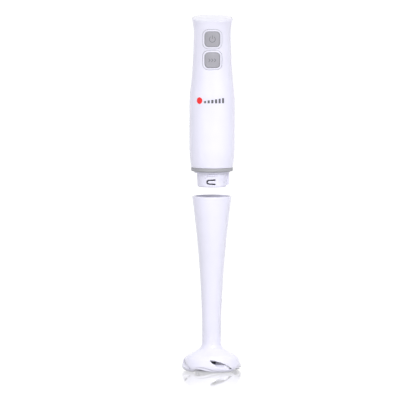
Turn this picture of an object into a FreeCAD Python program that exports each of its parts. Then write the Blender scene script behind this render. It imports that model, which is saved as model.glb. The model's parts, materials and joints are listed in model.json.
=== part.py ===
import FreeCAD, Part
import Sketcher
import math
import os
import re

# Immersion blender: a motor unit lifted clear of its bell-footed blending leg.
# Millimetres, +Z up, front towards -Y, origin on the floor at the centre of the bell.
# Azimuths run from the front (-Y) towards the right (+X).
# Heights of the leg's pieces are above the floor; heights of the motor unit's pieces
# are above the lower end of its bayonet connector, which "lifted" puts in place.

os.makedirs("parts", exist_ok=True)
doc = FreeCAD.newDocument("immersion_blender")
sheet = doc.addObject("Spreadsheet::Sheet", "Size")

DIMENSIONS = {
    # blending leg, outside
    "leg_height": 185.0,
    "leg_top": 21.1,
    "leg_upper_swell": 14.2,
    "leg_upper_swell_height": 134.3,
    "leg_lower_swell": 10.2,
    "leg_lower_swell_height": 83.7,
    "neck": 10.0,
    "neck_height": 33.0,
    "shoulder_height": 20.2,
    "bell": 31.2,
    "rim_height": 4.6,
    "foot": 27.8,
    "foot_inside": 25.9,
    # blending leg, inside
    "bell_ceiling": 19.2,
    "hub": 7.6,
    "hub_bottom": 15.5,
    "bush_pocket": 5.5,
    "bush_pocket_top": 30.0,
    "hub_roof": 33.5,
    "hollow_bottom": 7.6,
    "hollow_middle": 10.6,
    "hollow_top": 15.9,
    "socket_ledge": 165.5,
    "socket_floor": 167.5,
    "socket": 16.35,
    "ridge_relief": 17.6,
    "ridge_relief_height": 179.4,
    "flange_recess": 19.1,
    "flange_recess_depth": 1.6,
    # bayonet lugs of the leg and the key's track beside them
    "lug_start": -50.0,
    "lug_sweep": 22.0,
    "lug_bottom": 182.05,
    "lug_top": 183.4,
    "keyway": 18.25,
    "keyway_start": 60.0,
    "keyway_sweep": 40.5,
    "keyway_bottom": 170.0,
    # swirl slots and arched cut-outs of the bell
    "bell_repeats": 4.0,
    "slot_azimuth": 21.5,
    "slot_half_span": 12.4,
    "slot_high_end": 13.6,
    "slot_low_end": 4.4,
    "arch_azimuth": -9.0,
    "arch_half_span": 16.4,
    "arch_rise": 4.2,
    # drive train of the leg
    "shaft": 3.0,
    "shaft_bottom": 6.2,
    "shaft_top": 171.0,
    "bush_fit": 0.04,
    "clearance": 0.3,
    "upper_bush_bottom": 150.0,
    "upper_bush": 4.6,
    "circlip_bottom": 148.6,
    "dog": 4.6,
    "dog_bottom": 168.2,
    "dog_top": 177.0,
    "dog_wing": 6.5,
    "dog_wing_sweep": 40.0,
    "blade_height": 9.4,
    "blade_thickness": 1.2,
    "blade_reach": 21.5,
    "blade_half_width": 5.2,
    "blade_hub": 5.0,
    # connector under the motor unit
    "lifted": 195.0,
    "connector_bottom": 15.4,
    "connector": 16.05,
    "connector_wall": 1.7,
    "connector_round": 2.4,
    "deck_bottom": 13.4,
    "flange_bottom": 14.9,
    "flange": 18.8,
    "flange_top": 16.3,
    "spigot": 17.5,
    "spigot_top": 23.5,
    "retainer": 19.9,
    "retainer_top": 25.4,
    "ridge": 17.1,
    "ridge_bottom": 11.5,
    "ridge_top": 12.9,
    "ridge_start": -26.0,
    "ridge_sweep": 49.0,
    "key": 18.0,
    "key_azimuth": 95.0,
    "key_sweep": 8.0,
    "key_bottom": 1.8,
    "tongue_left": -5.9,
    "tongue_right": 3.8,
    "tongue_bottom": 2.4,
    "tongue_top": 8.8,
    "tongue_gap": 1.0,
    # seal ring
    "seal_bottom": 16.5,
    "seal_top": 20.2,
    "seal": 22.1,
    "seal_inside": 17.8,
    "seal_round": 1.2,
    # handle housing
    "housing_bottom": 20.4,
    "housing_base": 22.0,
    "body_bottom": 50.0,
    "body_top": 87.0,
    "body": 24.25,
    "grip": 20.0,
    "grip_height": 158.0,
    "crown": 21.75,
    "crown_height": 176.6,
    "crown_side_height": 178.2,
    "crown_tilt": 8.0,
    "cut_reach": 30.0,
    "housing_wall": 2.3,
    "floor_thickness": 3.0,
    "cap": 20.4,
    "cap_seat": 1.2,
    "cap_dome": 1.9,
    # control buttons
    "power_height": 156.5,
    "turbo_height": 134.5,
    "power_proud": 20.35,
    "turbo_proud": 20.85,
    "button": 15.9,
    "button_round": 4.2,
    "button_depth": 3.4,
    "bezel": 20.4,
    "bezel_round": 6.2,
    "bezel_proud": 0.35,
    "bezel_depth": 4.2,
    "button_gap": 0.2,
    "stem": 2.2,
    # switchgear
    "board_front": 0.6,
    "board_thickness": 1.6,
    "board_half_width": 10.0,
    "board_bottom": 104.0,
    "board_top": 169.0,
    "switch_width": 12.8,
    "switch_tall": 6.4,
    "switch_deep": 6.4,
    "plunger": 1.6,
    "plunger_length": 2.6,
    "plunger_well": 4.0,
    # motor
    "can": 18.6,
    "can_bottom": 30.0,
    "can_top": 86.0,
    "can_wall": 1.2,
    "magnet_inside": 14.2,
    "magnet_bottom": 36.0,
    "magnet_top": 80.0,
    "magnet_sweep": 130.0,
    "core": 13.6,
    "core_bottom": 40.0,
    "core_top": 72.0,
    "core_slots": 8.0,
    "core_slot": 1.9,
    "coil_bar": 1.7,
    "coil_head": 4.0,
    "coil_inside": 4.6,
    "commutator": 6.2,
    "commutator_bottom": 77.5,
    "commutator_top": 85.5,
    "commutator_gap": 0.5,
    "motor_shaft": 2.5,
    "bearing": 6.5,
    "cup": 9.0,
    "cup_inside": 6.9,
    "cup_bottom": 1.4,
    "cup_roof": 10.4,
    "cup_top": 12.4,
    # cord inlet, without its cord
    "inlet_height": 150.0,
    "inlet_bore": 3.6,
    "inlet_sleeve": 5.2,
    "inlet_collar": 7.0,
    "inlet_reach": 31.0,
    "inlet_base": 14.5,
    # clamp that would hold the cord
    "clamp_height": 139.4,
    "clamp_across": 6.5,
    "clamp_half_width": 9.0,
    "clamp_face": 8.4,
    "clamp_thickness": 3.6,
    "clamp_post": 2.0,
    # screws and bosses of the handle
    "screw": 1.5,
    "screw_head": 2.8,
    "screw_head_thickness": 2.2,
    "screw_tip": 7.0,
    "boss": 3.2,
    "boss_across": 13.6,
    "low_boss_height": 98.0,
    "low_boss_reach": 17.2,
    "high_boss_height": 165.0,
    "high_boss_reach": 12.8,
    "screw_seat_depth": 6.8,
}

for row, (alias, number) in enumerate(DIMENSIONS.items(), start=1):
    sheet.set(f"A{row}", alias.replace("_", " "))
    sheet.set(f"B{row}", str(number))
    sheet.setAlias(f"B{row}", alias)
doc.recompute()

SUB_PARTS = []


def sized(text):
    """An expression in the sheet's aliases, written as the document wants it."""
    word = re.compile(r"[a-z][a-z_]*")
    return word.sub(lambda m: f"Size.{m[0]}" if m[0] in DIMENSIONS else m[0], text)


def value(text):
    """What an expression in the sheet's aliases comes to now."""
    found = sheet.evalExpression(sized(text))
    return float(getattr(found, "Value", found))


def bind(thing, **properties):
    """Bind properties, named with a double underscore for a dot, to expressions."""
    for name, text in properties.items():
        thing.setExpression(name.replace("__", "."), sized(text))


def keep(thing, label):
    """Name a finished sub-part, and keep it for the closing checks and its file."""
    thing.Label = label
    SUB_PARTS.append(thing)
    return thing


def new_body(label, height="0"):
    """A kept body, raised so that its own zero stands at this height."""
    body = doc.addObject("PartDesign::Body", label)
    bind(body, Placement__Base__z=height)
    return keep(body, label)


def origin_feature(body, role):
    """One of a body's own origin planes or axes."""
    return next(f for f in body.Origin.OriginFeatures if f.Role == role)


def new_sketch(body, name, plane="XZ_Plane", turned="0", offset="0"):
    """A sketch on an origin plane of its body, turned about the plane's upright, set off it."""
    sketch = body.newObject("Sketcher::SketchObject", name)
    sketch.AttachmentSupport = (origin_feature(body, plane), [""])
    sketch.MapMode = "FlatFace"
    spin = FreeCAD.Rotation(FreeCAD.Vector(0, 1, 0), value(turned))
    out = spin.multVec(FreeCAD.Vector(0, 0, value(offset)))
    sketch.AttachmentOffset = FreeCAD.Placement(out, spin)
    return sketch


def fix(sketch, geometry, end, across, up):
    """Hold one point of a sketch at a place given by two expressions."""
    for kind, axis, text in (("DistanceX", -2, across), ("DistanceY", -1, up)):
        if abs(value(text)) < 1e-9:
            sketch.addConstraint(Sketcher.Constraint("PointOnObject", geometry, end, axis))
            continue
        held = Sketcher.Constraint(kind, -1, 1, geometry, end, value(text))
        sketch.setExpression(f"Constraints[{sketch.addConstraint(held)}]", sized(text))


def outline(sketch, corners):
    """Draw a closed outline. A corner is (across, up), or (across, up, poles) where the way
    to the next corner is a curve that these poles shape."""
    places = [FreeCAD.Vector(value(c[0]), value(c[1]), 0) for c in corners]
    edges, curves = [], []
    for number, corner in enumerate(corners):
        start, end = places[number], places[(number + 1) % len(corners)]
        if len(corner) == 2:
            edges.append(sketch.addGeometry(Part.LineSegment(start, end), False))
            continue
        poles = [FreeCAD.Vector(value(x), value(y), 0) for x, y in corner[2]]
        degree = min(3, len(poles) + 1)
        knots = len(poles) + 2 - degree
        curve = Part.BSplineCurve()
        curve.buildFromPolesMultsKnots(
            [start, *poles, end],
            [degree + 1] + [1] * (knots - 1) + [degree + 1],
            [float(k) for k in range(knots + 1)],
            False,
            degree,
        )
        edges.append(sketch.addGeometry(curve, False))
        curves.append((edges[-1], corner[2], poles))
    for number, edge in enumerate(edges):
        following = edges[(number + 1) % len(edges)]
        sketch.addConstraint(Sketcher.Constraint("Coincident", edge, 2, following, 1))
    for edge, corner in zip(edges, corners):
        fix(sketch, edge, 1, corner[0], corner[1])
    upright = FreeCAD.Vector(0, 0, 1)
    for edge, texts, poles in curves:
        for number, (text, pole) in enumerate(zip(texts, poles), start=1):
            handle = sketch.addGeometry(Part.Circle(pole, upright, 1.0), True)
            kind = "InternalAlignment:Sketcher::BSplineControlPoint"
            sketch.addConstraint(Sketcher.Constraint(kind, handle, 3, edge, number))
            fix(sketch, handle, 3, *text)


def circle(sketch, radius, across="0", up="0"):
    """Draw a circle about a point of the sketch."""
    centre = FreeCAD.Vector(value(across), value(up), 0)
    drawn = sketch.addGeometry(
        Part.Circle(centre, FreeCAD.Vector(0, 0, 1), value(radius)), False)
    fix(sketch, drawn, 3, across, up)
    held = sketch.addConstraint(Sketcher.Constraint("Radius", drawn, value(radius)))
    sketch.setExpression(f"Constraints[{held}]", sized(radius))


def rounded_square(sketch, side, corner, up="0"):
    """Draw a square with round corners, centred at a height above the sketch's zero."""
    half, flat = f"({side}) / 2", f"(({side}) / 2 - ({corner}))"
    ends = [
        (half, f"{up} - {flat}", half, f"{up} + {flat}"),
        (flat, f"{up} + {half}", f"-{flat}", f"{up} + {half}"),
        (f"-{half}", f"{up} + {flat}", f"-{half}", f"{up} - {flat}"),
        (f"-{flat}", f"{up} - {half}", flat, f"{up} - {half}"),
    ]
    sides = []
    for start_x, start_y, end_x, end_y in ends:
        start = FreeCAD.Vector(value(start_x), value(start_y), 0)
        end = FreeCAD.Vector(value(end_x), value(end_y), 0)
        sides.append(sketch.addGeometry(Part.LineSegment(start, end), False))
    centres = [(1, 1), (-1, 1), (-1, -1), (1, -1)]
    reach = value(flat)
    for number, (across, above) in enumerate(centres):
        centre = FreeCAD.Vector(across * reach, value(up) + above * reach, 0)
        whole = Part.Circle(centre, FreeCAD.Vector(0, 0, 1), value(corner))
        start = number * math.pi / 2
        bend = Part.ArcOfCircle(whole, start, start + math.pi / 2)
        arc = sketch.addGeometry(bend, False)
        before, after = sides[number], sides[(number + 1) % 4]
        sketch.addConstraint(Sketcher.Constraint("Coincident", before, 2, arc, 1))
        sketch.addConstraint(Sketcher.Constraint("Coincident", arc, 2, after, 1))
        held = Sketcher.Constraint("Radius", arc, value(corner))
        sketch.setExpression(f"Constraints[{sketch.addConstraint(held)}]", sized(corner))
    for side_line, (start_x, start_y, end_x, end_y) in zip(sides, ends):
        fix(sketch, side_line, 1, start_x, start_y)
        fix(sketch, side_line, 2, end_x, end_y)


def turn(body, name, corners, sweep="360", start="90", cut=False):
    """Turn an outline (radius, height) about the body's upright axis, or cut with it."""
    sketch = new_sketch(body, f"{name}_outline", turned=f"{start} - 90")
    outline(sketch, corners)
    kind = "PartDesign::Groove" if cut else "PartDesign::Revolution"
    feature = body.newObject(kind, name)
    feature.Profile = sketch
    feature.ReferenceAxis = (sketch, ["V_Axis"])
    bind(feature, Angle=sweep)
    return feature


def lay(body, name, corners, sweep="360"):
    """Turn an outline (distance behind the axis, height) about the body's Y axis."""
    sketch = new_sketch(body, f"{name}_outline", plane="YZ_Plane")
    outline(sketch, corners)
    feature = body.newObject("PartDesign::Revolution", name)
    feature.Profile = sketch
    feature.ReferenceAxis = (sketch, ["H_Axis"])
    bind(feature, Angle=sweep)
    return feature


def pad(body, name, draw, length, **where):
    """Pad what draw puts in a sketch."""
    sketch = new_sketch(body, f"{name}_outline", **where)
    draw(sketch)
    feature = body.newObject("PartDesign::Pad", name)
    feature.Profile = sketch
    bind(feature, Length=length)
    return feature


def pocket(body, name, draw, length, outwards=True, **where):
    """Cut what draw puts in a sketch, away from the body's axis or towards it."""
    sketch = new_sketch(body, f"{name}_outline", **where)
    draw(sketch)
    feature = body.newObject("PartDesign::Pocket", name)
    feature.Profile = sketch
    feature.Reversed = outwards
    bind(feature, Length=length)
    return feature


def around(body, features, count):
    """Repeat features evenly about the body's upright axis."""
    pattern = body.newObject("PartDesign::PolarPattern", f"{features[0].Name}_around")
    pattern.Originals = features
    pattern.Axis = (origin_feature(body, "Z_Axis"), [""])
    pattern.Angle = 360
    bind(pattern, Occurrences=count)
    body.Tip = pattern
    return pattern


def ring(inside, outside, bottom, top):
    """The outline of a plain tube."""
    return [(inside, bottom), (outside, bottom), (outside, top), (inside, top)]


def box(label, low, size, height="lifted"):
    """A kept block from its lowest corner and its size along X, Y and Z."""
    block = doc.addObject("Part::Box", label)
    bind(block, Length=size[0], Width=size[1], Height=size[2])
    bind(block, Placement__Base__x=low[0], Placement__Base__y=low[1])
    bind(block, Placement__Base__z=f"{height} + {low[2]}")
    return keep(block, label)


def group(label, pieces):
    """One kept sub-part of several separate solids."""
    for piece in pieces:
        SUB_PARTS.remove(piece)
        piece.Label = f"{label}_{pieces.index(piece) + 1}"
    compound = doc.addObject("Part::Compound", f"{label}_group")
    compound.Links = pieces
    return keep(compound, label)


def slot_outline(sketch):
    """A leaf that slopes down to the right, blunt at its high left end."""
    outline(sketch, [
        ("-slot_half_span", "slot_high_end",
         [("-slot_half_span * 0.2", "slot_high_end + 0.9"),
          ("slot_half_span * 0.75", "slot_low_end + 3.4")]),
        ("slot_half_span", "slot_low_end",
         [("slot_half_span * 0.55", "slot_low_end - 0.5"),
          ("-slot_half_span * 0.35", "slot_low_end + 0.6")]),
        ("-slot_half_span * 0.8", "slot_high_end - 3.3"),
    ])


def arch_outline(sketch):
    """A saw-tooth arch: steep at its left end, then falling slowly to the floor."""
    outline(sketch, [
        ("-arch_half_span", "-1"),
        ("-arch_half_span", "0"),
        ("-arch_half_span + 3.2", "arch_rise",
         [("-arch_half_span * 0.1", "arch_rise - 0.7"),
          ("arch_half_span * 0.45", "arch_rise * 0.12")]),
        ("arch_half_span", "0"),
        ("arch_half_span", "-1"),
    ])


def make_leg_tube():
    """The leg's white shell: tapered tube, bell foot, hub for the lower bush and socket."""
    body = new_body("leg_tube")
    turn(body, "leg_shell", [
        ("leg_top", "leg_height",
         [("leg_upper_swell", "leg_upper_swell_height"),
          ("leg_lower_swell", "leg_lower_swell_height")]),
        ("neck", "neck_height",
         [("neck", "neck_height - 5.6"),
          ("neck + 1.3", "shoulder_height + 3.6"),
          ("neck + 5.8", "shoulder_height + 0.8"),
          ("bell - 9.8", "shoulder_height - 2.2"),
          ("bell - 3.3", "shoulder_height - 4.8"),
          ("bell", "rim_height + 2.9")]),
        ("bell", "rim_height",
         [("bell", "rim_height - 2.4"), ("foot + 2", "0.9")]),
        ("foot", "0"),
        ("foot_inside", "0",
         [("bell - 2.9", "3.2"),
          ("bell - 2.3", "8.2"),
          ("bell - 3.8", "bell_ceiling - 6.6"),
          ("bell - 12", "bell_ceiling - 2.4"),
          ("hub + 5", "bell_ceiling")]),
        ("hub", "bell_ceiling"),
        ("hub", "hub_bottom"),
        ("bush_pocket", "hub_bottom"),
        ("bush_pocket", "bush_pocket_top"),
        ("shaft + 1", "bush_pocket_top"),
        ("shaft + 1", "hub_roof"),
        ("hollow_bottom", "hub_roof",
         [("hollow_bottom", "leg_lower_swell_height"),
          ("hollow_middle", "leg_upper_swell_height")]),
        ("hollow_top", "socket_ledge - 1.5"),
        ("hollow_top", "socket_ledge"),
        ("socket", "socket_ledge"),
        ("socket", "ridge_relief_height"),
        ("ridge_relief", "ridge_relief_height"),
        ("ridge_relief", "leg_height - flange_recess_depth"),
        ("flange_recess", "leg_height - flange_recess_depth"),
        ("flange_recess", "leg_height"),
    ])
    turn(
        body, "keyway",
        ring("socket - 1", "keyway", "keyway_bottom", "leg_height + 1"),
        sweep="keyway_sweep", start="keyway_start", cut=True,
    )
    for number, side in enumerate(("0", "180"), start=1):
        turn(
            body, f"lug_{number}",
            ring("socket", "ridge_relief + 0.2", "lug_bottom", "lug_top"),
            sweep="lug_sweep", start=f"{side} + lug_start",
        )
    slot = pocket(body, "swirl_slot", slot_outline, "bell + 5", turned="slot_azimuth")
    around(body, [slot], "bell_repeats")
    arch = pocket(body, "foot_arch", arch_outline, "bell + 5", turned="arch_azimuth")
    around(body, [arch], "bell_repeats")


def make_leg_bearings():
    """Socket plate with the upper bush, lower bush and the lip seal under it."""
    body = new_body("socket_plate")
    turn(body, "plate", [
        ("upper_bush", "upper_bush_bottom"),
        ("upper_bush + 1.8", "upper_bush_bottom"),
        ("upper_bush + 1.8", "socket_ledge"),
        ("socket - 0.05", "socket_ledge"),
        ("socket - 0.05", "socket_floor"),
        ("shaft + clearance", "socket_floor"),
        ("shaft + clearance", "socket_ledge - 1"),
        ("upper_bush", "socket_ledge - 1"),
    ])
    body = new_body("upper_bush")
    turn(body, "bush", ring(
        "shaft + bush_fit", "upper_bush", "upper_bush_bottom + 1", "socket_ledge - 1"))
    body = new_body("lower_bush")
    turn(body, "bush", ring(
        "shaft + bush_fit", "bush_pocket", "hub_bottom + 3.5", "bush_pocket_top"))
    body = new_body("lip_seal")
    turn(body, "seal", [
        ("shaft + 0.1", "hub_bottom + 0.4"),
        ("shaft + 0.9", "hub_bottom"),
        ("bush_pocket", "hub_bottom"),
        ("bush_pocket", "hub_bottom + 3.3"),
        ("shaft + 1", "hub_bottom + 3.3"),
        ("shaft + 1", "hub_bottom + 1.6"),
    ])


def make_blade():
    """The cutter: a flat steel blade with two wings, each curved along its cutting edge."""
    body = new_body("blade", "blade_height")
    reach, half = "blade_reach", "blade_half_width"
    pad(body, "wings", lambda sketch: outline(sketch, [
        ("-blade_hub", "-blade_half_width", [("-blade_reach * 0.55", f"-{half} * 1.05")]),
        (f"-{reach}", "-blade_half_width * 0.35", [(f"-{reach} - 0.9", "0.4")]),
        (f"-{reach} + 1.6", "blade_half_width * 0.55",
         [("-blade_reach * 0.5", f"{half} * 0.25")]),
        ("-blade_hub", "blade_half_width"),
        ("blade_hub", "blade_half_width", [("blade_reach * 0.55", f"{half} * 1.05")]),
        (reach, "blade_half_width * 0.35", [(f"{reach} + 0.9", "-0.4")]),
        (f"{reach} - 1.6", "-blade_half_width * 0.55",
         [("blade_reach * 0.5", f"-{half} * 0.25")]),
        ("blade_hub", "-blade_half_width"),
    ]), "blade_thickness", plane="XY_Plane")
    turn(body, "bore", ring("0", "shaft + 0.02", "-1", "blade_thickness + 1"), cut=True)


def make_leg_drive():
    """Drive shaft, coupling dog on its top, circlip, and the hub and nut that hold the blade."""
    body = new_body("leg_shaft")
    turn(body, "rod", [
        ("0", "shaft_bottom"),
        ("shaft - 0.4", "shaft_bottom"),
        ("shaft", "shaft_bottom + 0.4"),
        ("shaft", "shaft_top - 0.6"),
        ("shaft - 0.6", "shaft_top"),
        ("0", "shaft_top"),
    ])
    body = new_body("drive_dog")
    turn(body, "hub", [
        ("shaft", "dog_bottom"),
        ("dog + 2.2", "dog_bottom"),
        ("dog + 2.2", "dog_bottom + 1.2"),
        ("dog", "dog_bottom + 1.8"),
        ("dog", "dog_top - 1"),
        ("dog - 1.4", "dog_top"),
        ("0", "dog_top"),
        ("0", "shaft_top"),
        ("shaft", "shaft_top"),
    ])
    wing = turn(body, "wing", [
        ("dog - 0.6", "dog_bottom + 1.2"),
        ("dog_wing", "dog_bottom + 1.2"),
        ("dog_wing", "dog_top - 2"),
        ("dog_wing - 1", "dog_top - 1"),
        ("dog - 0.6", "dog_top - 1"),
    ], sweep="dog_wing_sweep", start="90 - dog_wing_sweep / 2")
    around(body, [wing], "2")
    body = new_body("shaft_circlip")
    turn(body, "clip", ring(
        "shaft", "shaft + 1.6", "circlip_bottom", "circlip_bottom + 0.8"),
        sweep="320", start="110")
    body = new_body("blade_hub")
    turn(body, "hub", [
        ("shaft", "blade_height + blade_thickness"),
        ("blade_hub", "blade_height + blade_thickness"),
        ("blade_hub", "hub_bottom - 2.2"),
        ("blade_hub - 1", "hub_bottom - 1"),
        ("shaft", "hub_bottom - 1"),
    ])
    body = new_body("blade_nut")
    turn(body, "nut", [
        ("0", "shaft_bottom - 1"),
        ("blade_hub - 1.6", "shaft_bottom - 1"),
        ("blade_hub - 0.4", "shaft_bottom + 0.2"),
        ("blade_hub - 0.4", "blade_height"),
        ("shaft", "blade_height"),
        ("shaft", "shaft_bottom"),
        ("0", "shaft_bottom"),
    ])


def make_connector():
    """The bayonet connector: a cup-shaped spigot with a flange, ridges, key and latch tongue."""
    body = new_body("connector", "lifted")
    inside = "connector_bottom - connector_wall"
    turn(body, "spigot", [
        ("connector_bottom - 1.2", "0",
         [("connector_bottom - 0.1", "0.1")]),
        ("connector_bottom", "connector_round"),
        ("connector", "flange_bottom"),
        ("flange", "flange_bottom"),
        ("flange", "flange_top"),
        ("spigot", "flange_top"),
        ("spigot", "spigot_top"),
        ("retainer", "spigot_top"),
        ("retainer", "retainer_top"),
        ("bearing + 6", "retainer_top"),
        ("bearing + 6", "flange_top + 1.2"),
        ("motor_shaft + 5.2", "flange_top + 1.2"),
        ("motor_shaft + 5.2", "flange_top"),
        ("motor_shaft + 0.6", "flange_top"),
        ("motor_shaft + 0.6", "deck_bottom"),
        (f"{inside} + 0.3", "deck_bottom"),
        (inside, "connector_round"),
        (inside, "0"),
    ])
    for number, side in enumerate(("0", "180"), start=1):
        start = f"{side} + ridge_start"
        turn(body, f"ridge_{number}", [
            ("connector - 0.5", "ridge_bottom - 0.3"),
            ("ridge - 0.4", "ridge_bottom"),
            ("ridge", "ridge_bottom + 0.5"),
            ("ridge", "ridge_top - 0.5"),
            ("ridge - 0.4", "ridge_top"),
            ("connector - 0.5", "ridge_top + 0.3"),
        ], sweep="ridge_sweep", start=start)
        turn(
            body, f"ridge_end_{number}",
            ring("connector - 0.5", "ridge", "ridge_bottom + 0.3", "flange_bottom + 0.2"),
            sweep="4", start=f"{start} + ridge_sweep - 4",
        )
    turn(
        body, "key",
        ring("connector_bottom - 0.6", "key", "key_bottom", "flange_bottom + 0.2"),
        sweep="key_sweep", start="key_azimuth - key_sweep / 2",
    )
    pocket(body, "tongue_slot", lambda sketch: outline(sketch, [
        ("tongue_left", "tongue_bottom"),
        ("tongue_right", "tongue_bottom"),
        ("tongue_right", "tongue_bottom + tongue_gap"),
        ("tongue_left + tongue_gap", "tongue_bottom + tongue_gap"),
        ("tongue_left + tongue_gap", "tongue_top - tongue_gap"),
        ("tongue_right", "tongue_top - tongue_gap"),
        ("tongue_right", "tongue_top"),
        ("tongue_left", "tongue_top"),
    ]), "connector + 3")


def make_seal_ring():
    """The soft grey ring between the motor unit and the leg's rim."""
    body = new_body("seal_ring", "lifted")
    turn(body, "ring", [
        ("seal_inside", "seal_bottom"),
        ("seal - seal_round", "seal_bottom", [("seal", "seal_bottom")]),
        ("seal", "seal_bottom + seal_round"),
        ("seal", "seal_top - 0.3"),
        ("seal - 0.3", "seal_top"),
        ("seal_inside", "seal_top"),
    ])


def housing_outline():
    """Half the section of the handle's wall, closed at the bottom round the connector."""
    wall = "housing_wall"
    return [
        ("spigot + 0.05", "housing_bottom"),
        ("housing_base", "housing_bottom",
         [("body - 0.6", "housing_bottom + 8"),
          ("body", "body_bottom - 14")]),
        ("body", "body_bottom"),
        ("body", "body_top",
         [("body", "body_top + 12"),
          ("grip + 1.6", "body_top + 24"),
          ("grip + 0.35", "grip_height - 18")]),
        ("grip - 0.1", "grip_height",
         [("grip - 0.15", "grip_height + 6"),
          ("grip + 0.35", "grip_height + 13"),
          ("crown - 0.15", "crown_height - 1")]),
        ("crown + 0.75", "crown_height + 6"),
        (f"grip - {wall}", "crown_height + 6"),
        (f"grip - {wall}", "grip_height - 18",
         [(f"grip + 1 - {wall}", "body_top + 28"),
          (f"body - {wall}", "body_top + 8")]),
        (f"body - {wall}", "body_top - 4"),
        (f"body - {wall}", "housing_bottom + 15"),
        (f"housing_base + 0.4 - {wall}", "housing_bottom + floor_thickness + 2.2"),
        (f"housing_base + 0.4 - {wall}", "housing_bottom + floor_thickness"),
        ("spigot + 0.05", "housing_bottom + floor_thickness"),
    ]


def crown_slope(sketch):
    """What lies above the handle's top, which falls towards the front."""
    outline(sketch, [
        ("-cut_reach", "crown_side_height - cut_reach * tan(crown_tilt)"),
        ("cut_reach", "crown_side_height + cut_reach * tan(crown_tilt)"),
        ("cut_reach", "crown_side_height + cut_reach"),
        ("-cut_reach", "crown_side_height + cut_reach"),
    ])


def recess_for_the_cap(body):
    """Sink a sloping seat for the top cap into the handle's top."""
    sketch = new_sketch(body, "cap_seat_outline", plane="XY_Plane")
    sketch.AttachmentOffset = FreeCAD.Placement(
        FreeCAD.Vector(0, 0, value("crown_side_height")),
        FreeCAD.Rotation(FreeCAD.Vector(1, 0, 0), value("crown_tilt")),
    )
    bind(sketch, AttachmentOffset__Base__z="crown_side_height")
    bind(sketch, AttachmentOffset__Rotation__Angle="crown_tilt")
    circle(sketch, "cap + 0.1")
    seat = body.newObject("PartDesign::Pocket", "cap_seat")
    seat.Profile = sketch
    bind(seat, Length="cap_seat")


def boss_places(boss):
    """The four bosses of a half shell: radius, place across, height and reach."""
    return [
        (boss, f"{side} * boss_across", f"{row}_boss_height", f"{row}_boss_reach")
        for row in ("low", "high")
        for side in ("-1", "1")
    ]


def add_bosses(body, rear):
    """Screw bosses from the parting plane out into the wall, drilled for the screws."""
    for number, (radius, across, up, reach) in enumerate(boss_places("boss"), start=1):
        post = pad(body, f"boss_{number}", lambda sketch: circle(sketch, radius, across, up),
                   reach)
        post.Reversed = rear
        bore, depth = ("screw + 0.2", "body + 2") if rear else ("screw", "screw_tip + 1")
        pocket(body, f"screw_hole_{number}", lambda sketch:
               circle(sketch, bore, across, up), depth, outwards=not rear)
        if rear:
            pocket(body, f"head_hole_{number}", lambda sketch:
                   circle(sketch, "screw_head + 0.2", across, up), "body + 2",
                   outwards=False, offset=f"screw_seat_depth - {reach}")


def add_cord_fittings(body):
    """The hole for the cord inlet and two posts for the clamp, in the rear shell."""
    pocket(body, "inlet_hole", lambda sketch: circle(
        sketch, "inlet_sleeve + 0.05", up="inlet_height"), "body + 2", outwards=False)
    face = "clamp_face + clamp_thickness"
    for number, side in enumerate(("-1", "1"), start=1):
        post = pad(body, f"clamp_post_{number}", lambda sketch: circle(
            sketch, "clamp_post", f"{side} * clamp_across", "clamp_height"),
            f"17.2 - {face}", offset=f"-({face})")
        post.Reversed = True
        pocket(body, f"clamp_pilot_{number}", lambda sketch: circle(
            sketch, "screw * 0.7", f"{side} * clamp_across", "clamp_height"),
            "3.5", outwards=False, offset=f"-({face})")


def make_housings():
    """The handle's two half shells, joined at its sides."""
    for label, start in (("front_housing", "-90"), ("rear_housing", "90")):
        body = new_body(label, "lifted")
        turn(body, "shell", housing_outline(), sweep="180", start=start)
        rear = label == "rear_housing"
        add_bosses(body, rear)
        cut = pocket(body, "crown_cut", crown_slope, "2 * cut_reach", plane="YZ_Plane")
        cut.Midplane = True
        recess_for_the_cap(body)
        if rear:
            add_cord_fittings(body)
            continue
        for name in ("power", "turbo"):
            pocket(body, f"{name}_window", lambda sketch, up=f"{name}_height":
                   rounded_square(sketch, "bezel", "bezel_round", up), "body + 2")


def make_top_cap():
    """The inset lid of the handle: a shallow dome that slopes with the handle's top."""
    cap = new_body("top_cap", "lifted + crown_side_height")
    cap.Placement = FreeCAD.Placement(
        FreeCAD.Vector(0, 0, value("lifted + crown_side_height")),
        FreeCAD.Rotation(FreeCAD.Vector(1, 0, 0), value("crown_tilt")),
    )
    bind(cap, Placement__Rotation__Angle="crown_tilt")
    turn(cap, "dome", [
        ("0", "cap_dome"),
        ("0", "cap_dome - 1.8"),
        ("grip - 5", "-cap_seat"),
        ("grip - 5", "-cap_seat - 3"),
        ("grip - 3.4", "-cap_seat - 3"),
        ("grip - 3.4", "-cap_seat"),
        ("cap", "-cap_seat"),
        ("cap", "-0.3"),
        ("cap - 0.3", "0",
         [("cap * 0.82", "cap_dome * 0.7"), ("cap * 0.45", "cap_dome")]),
    ])


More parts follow.
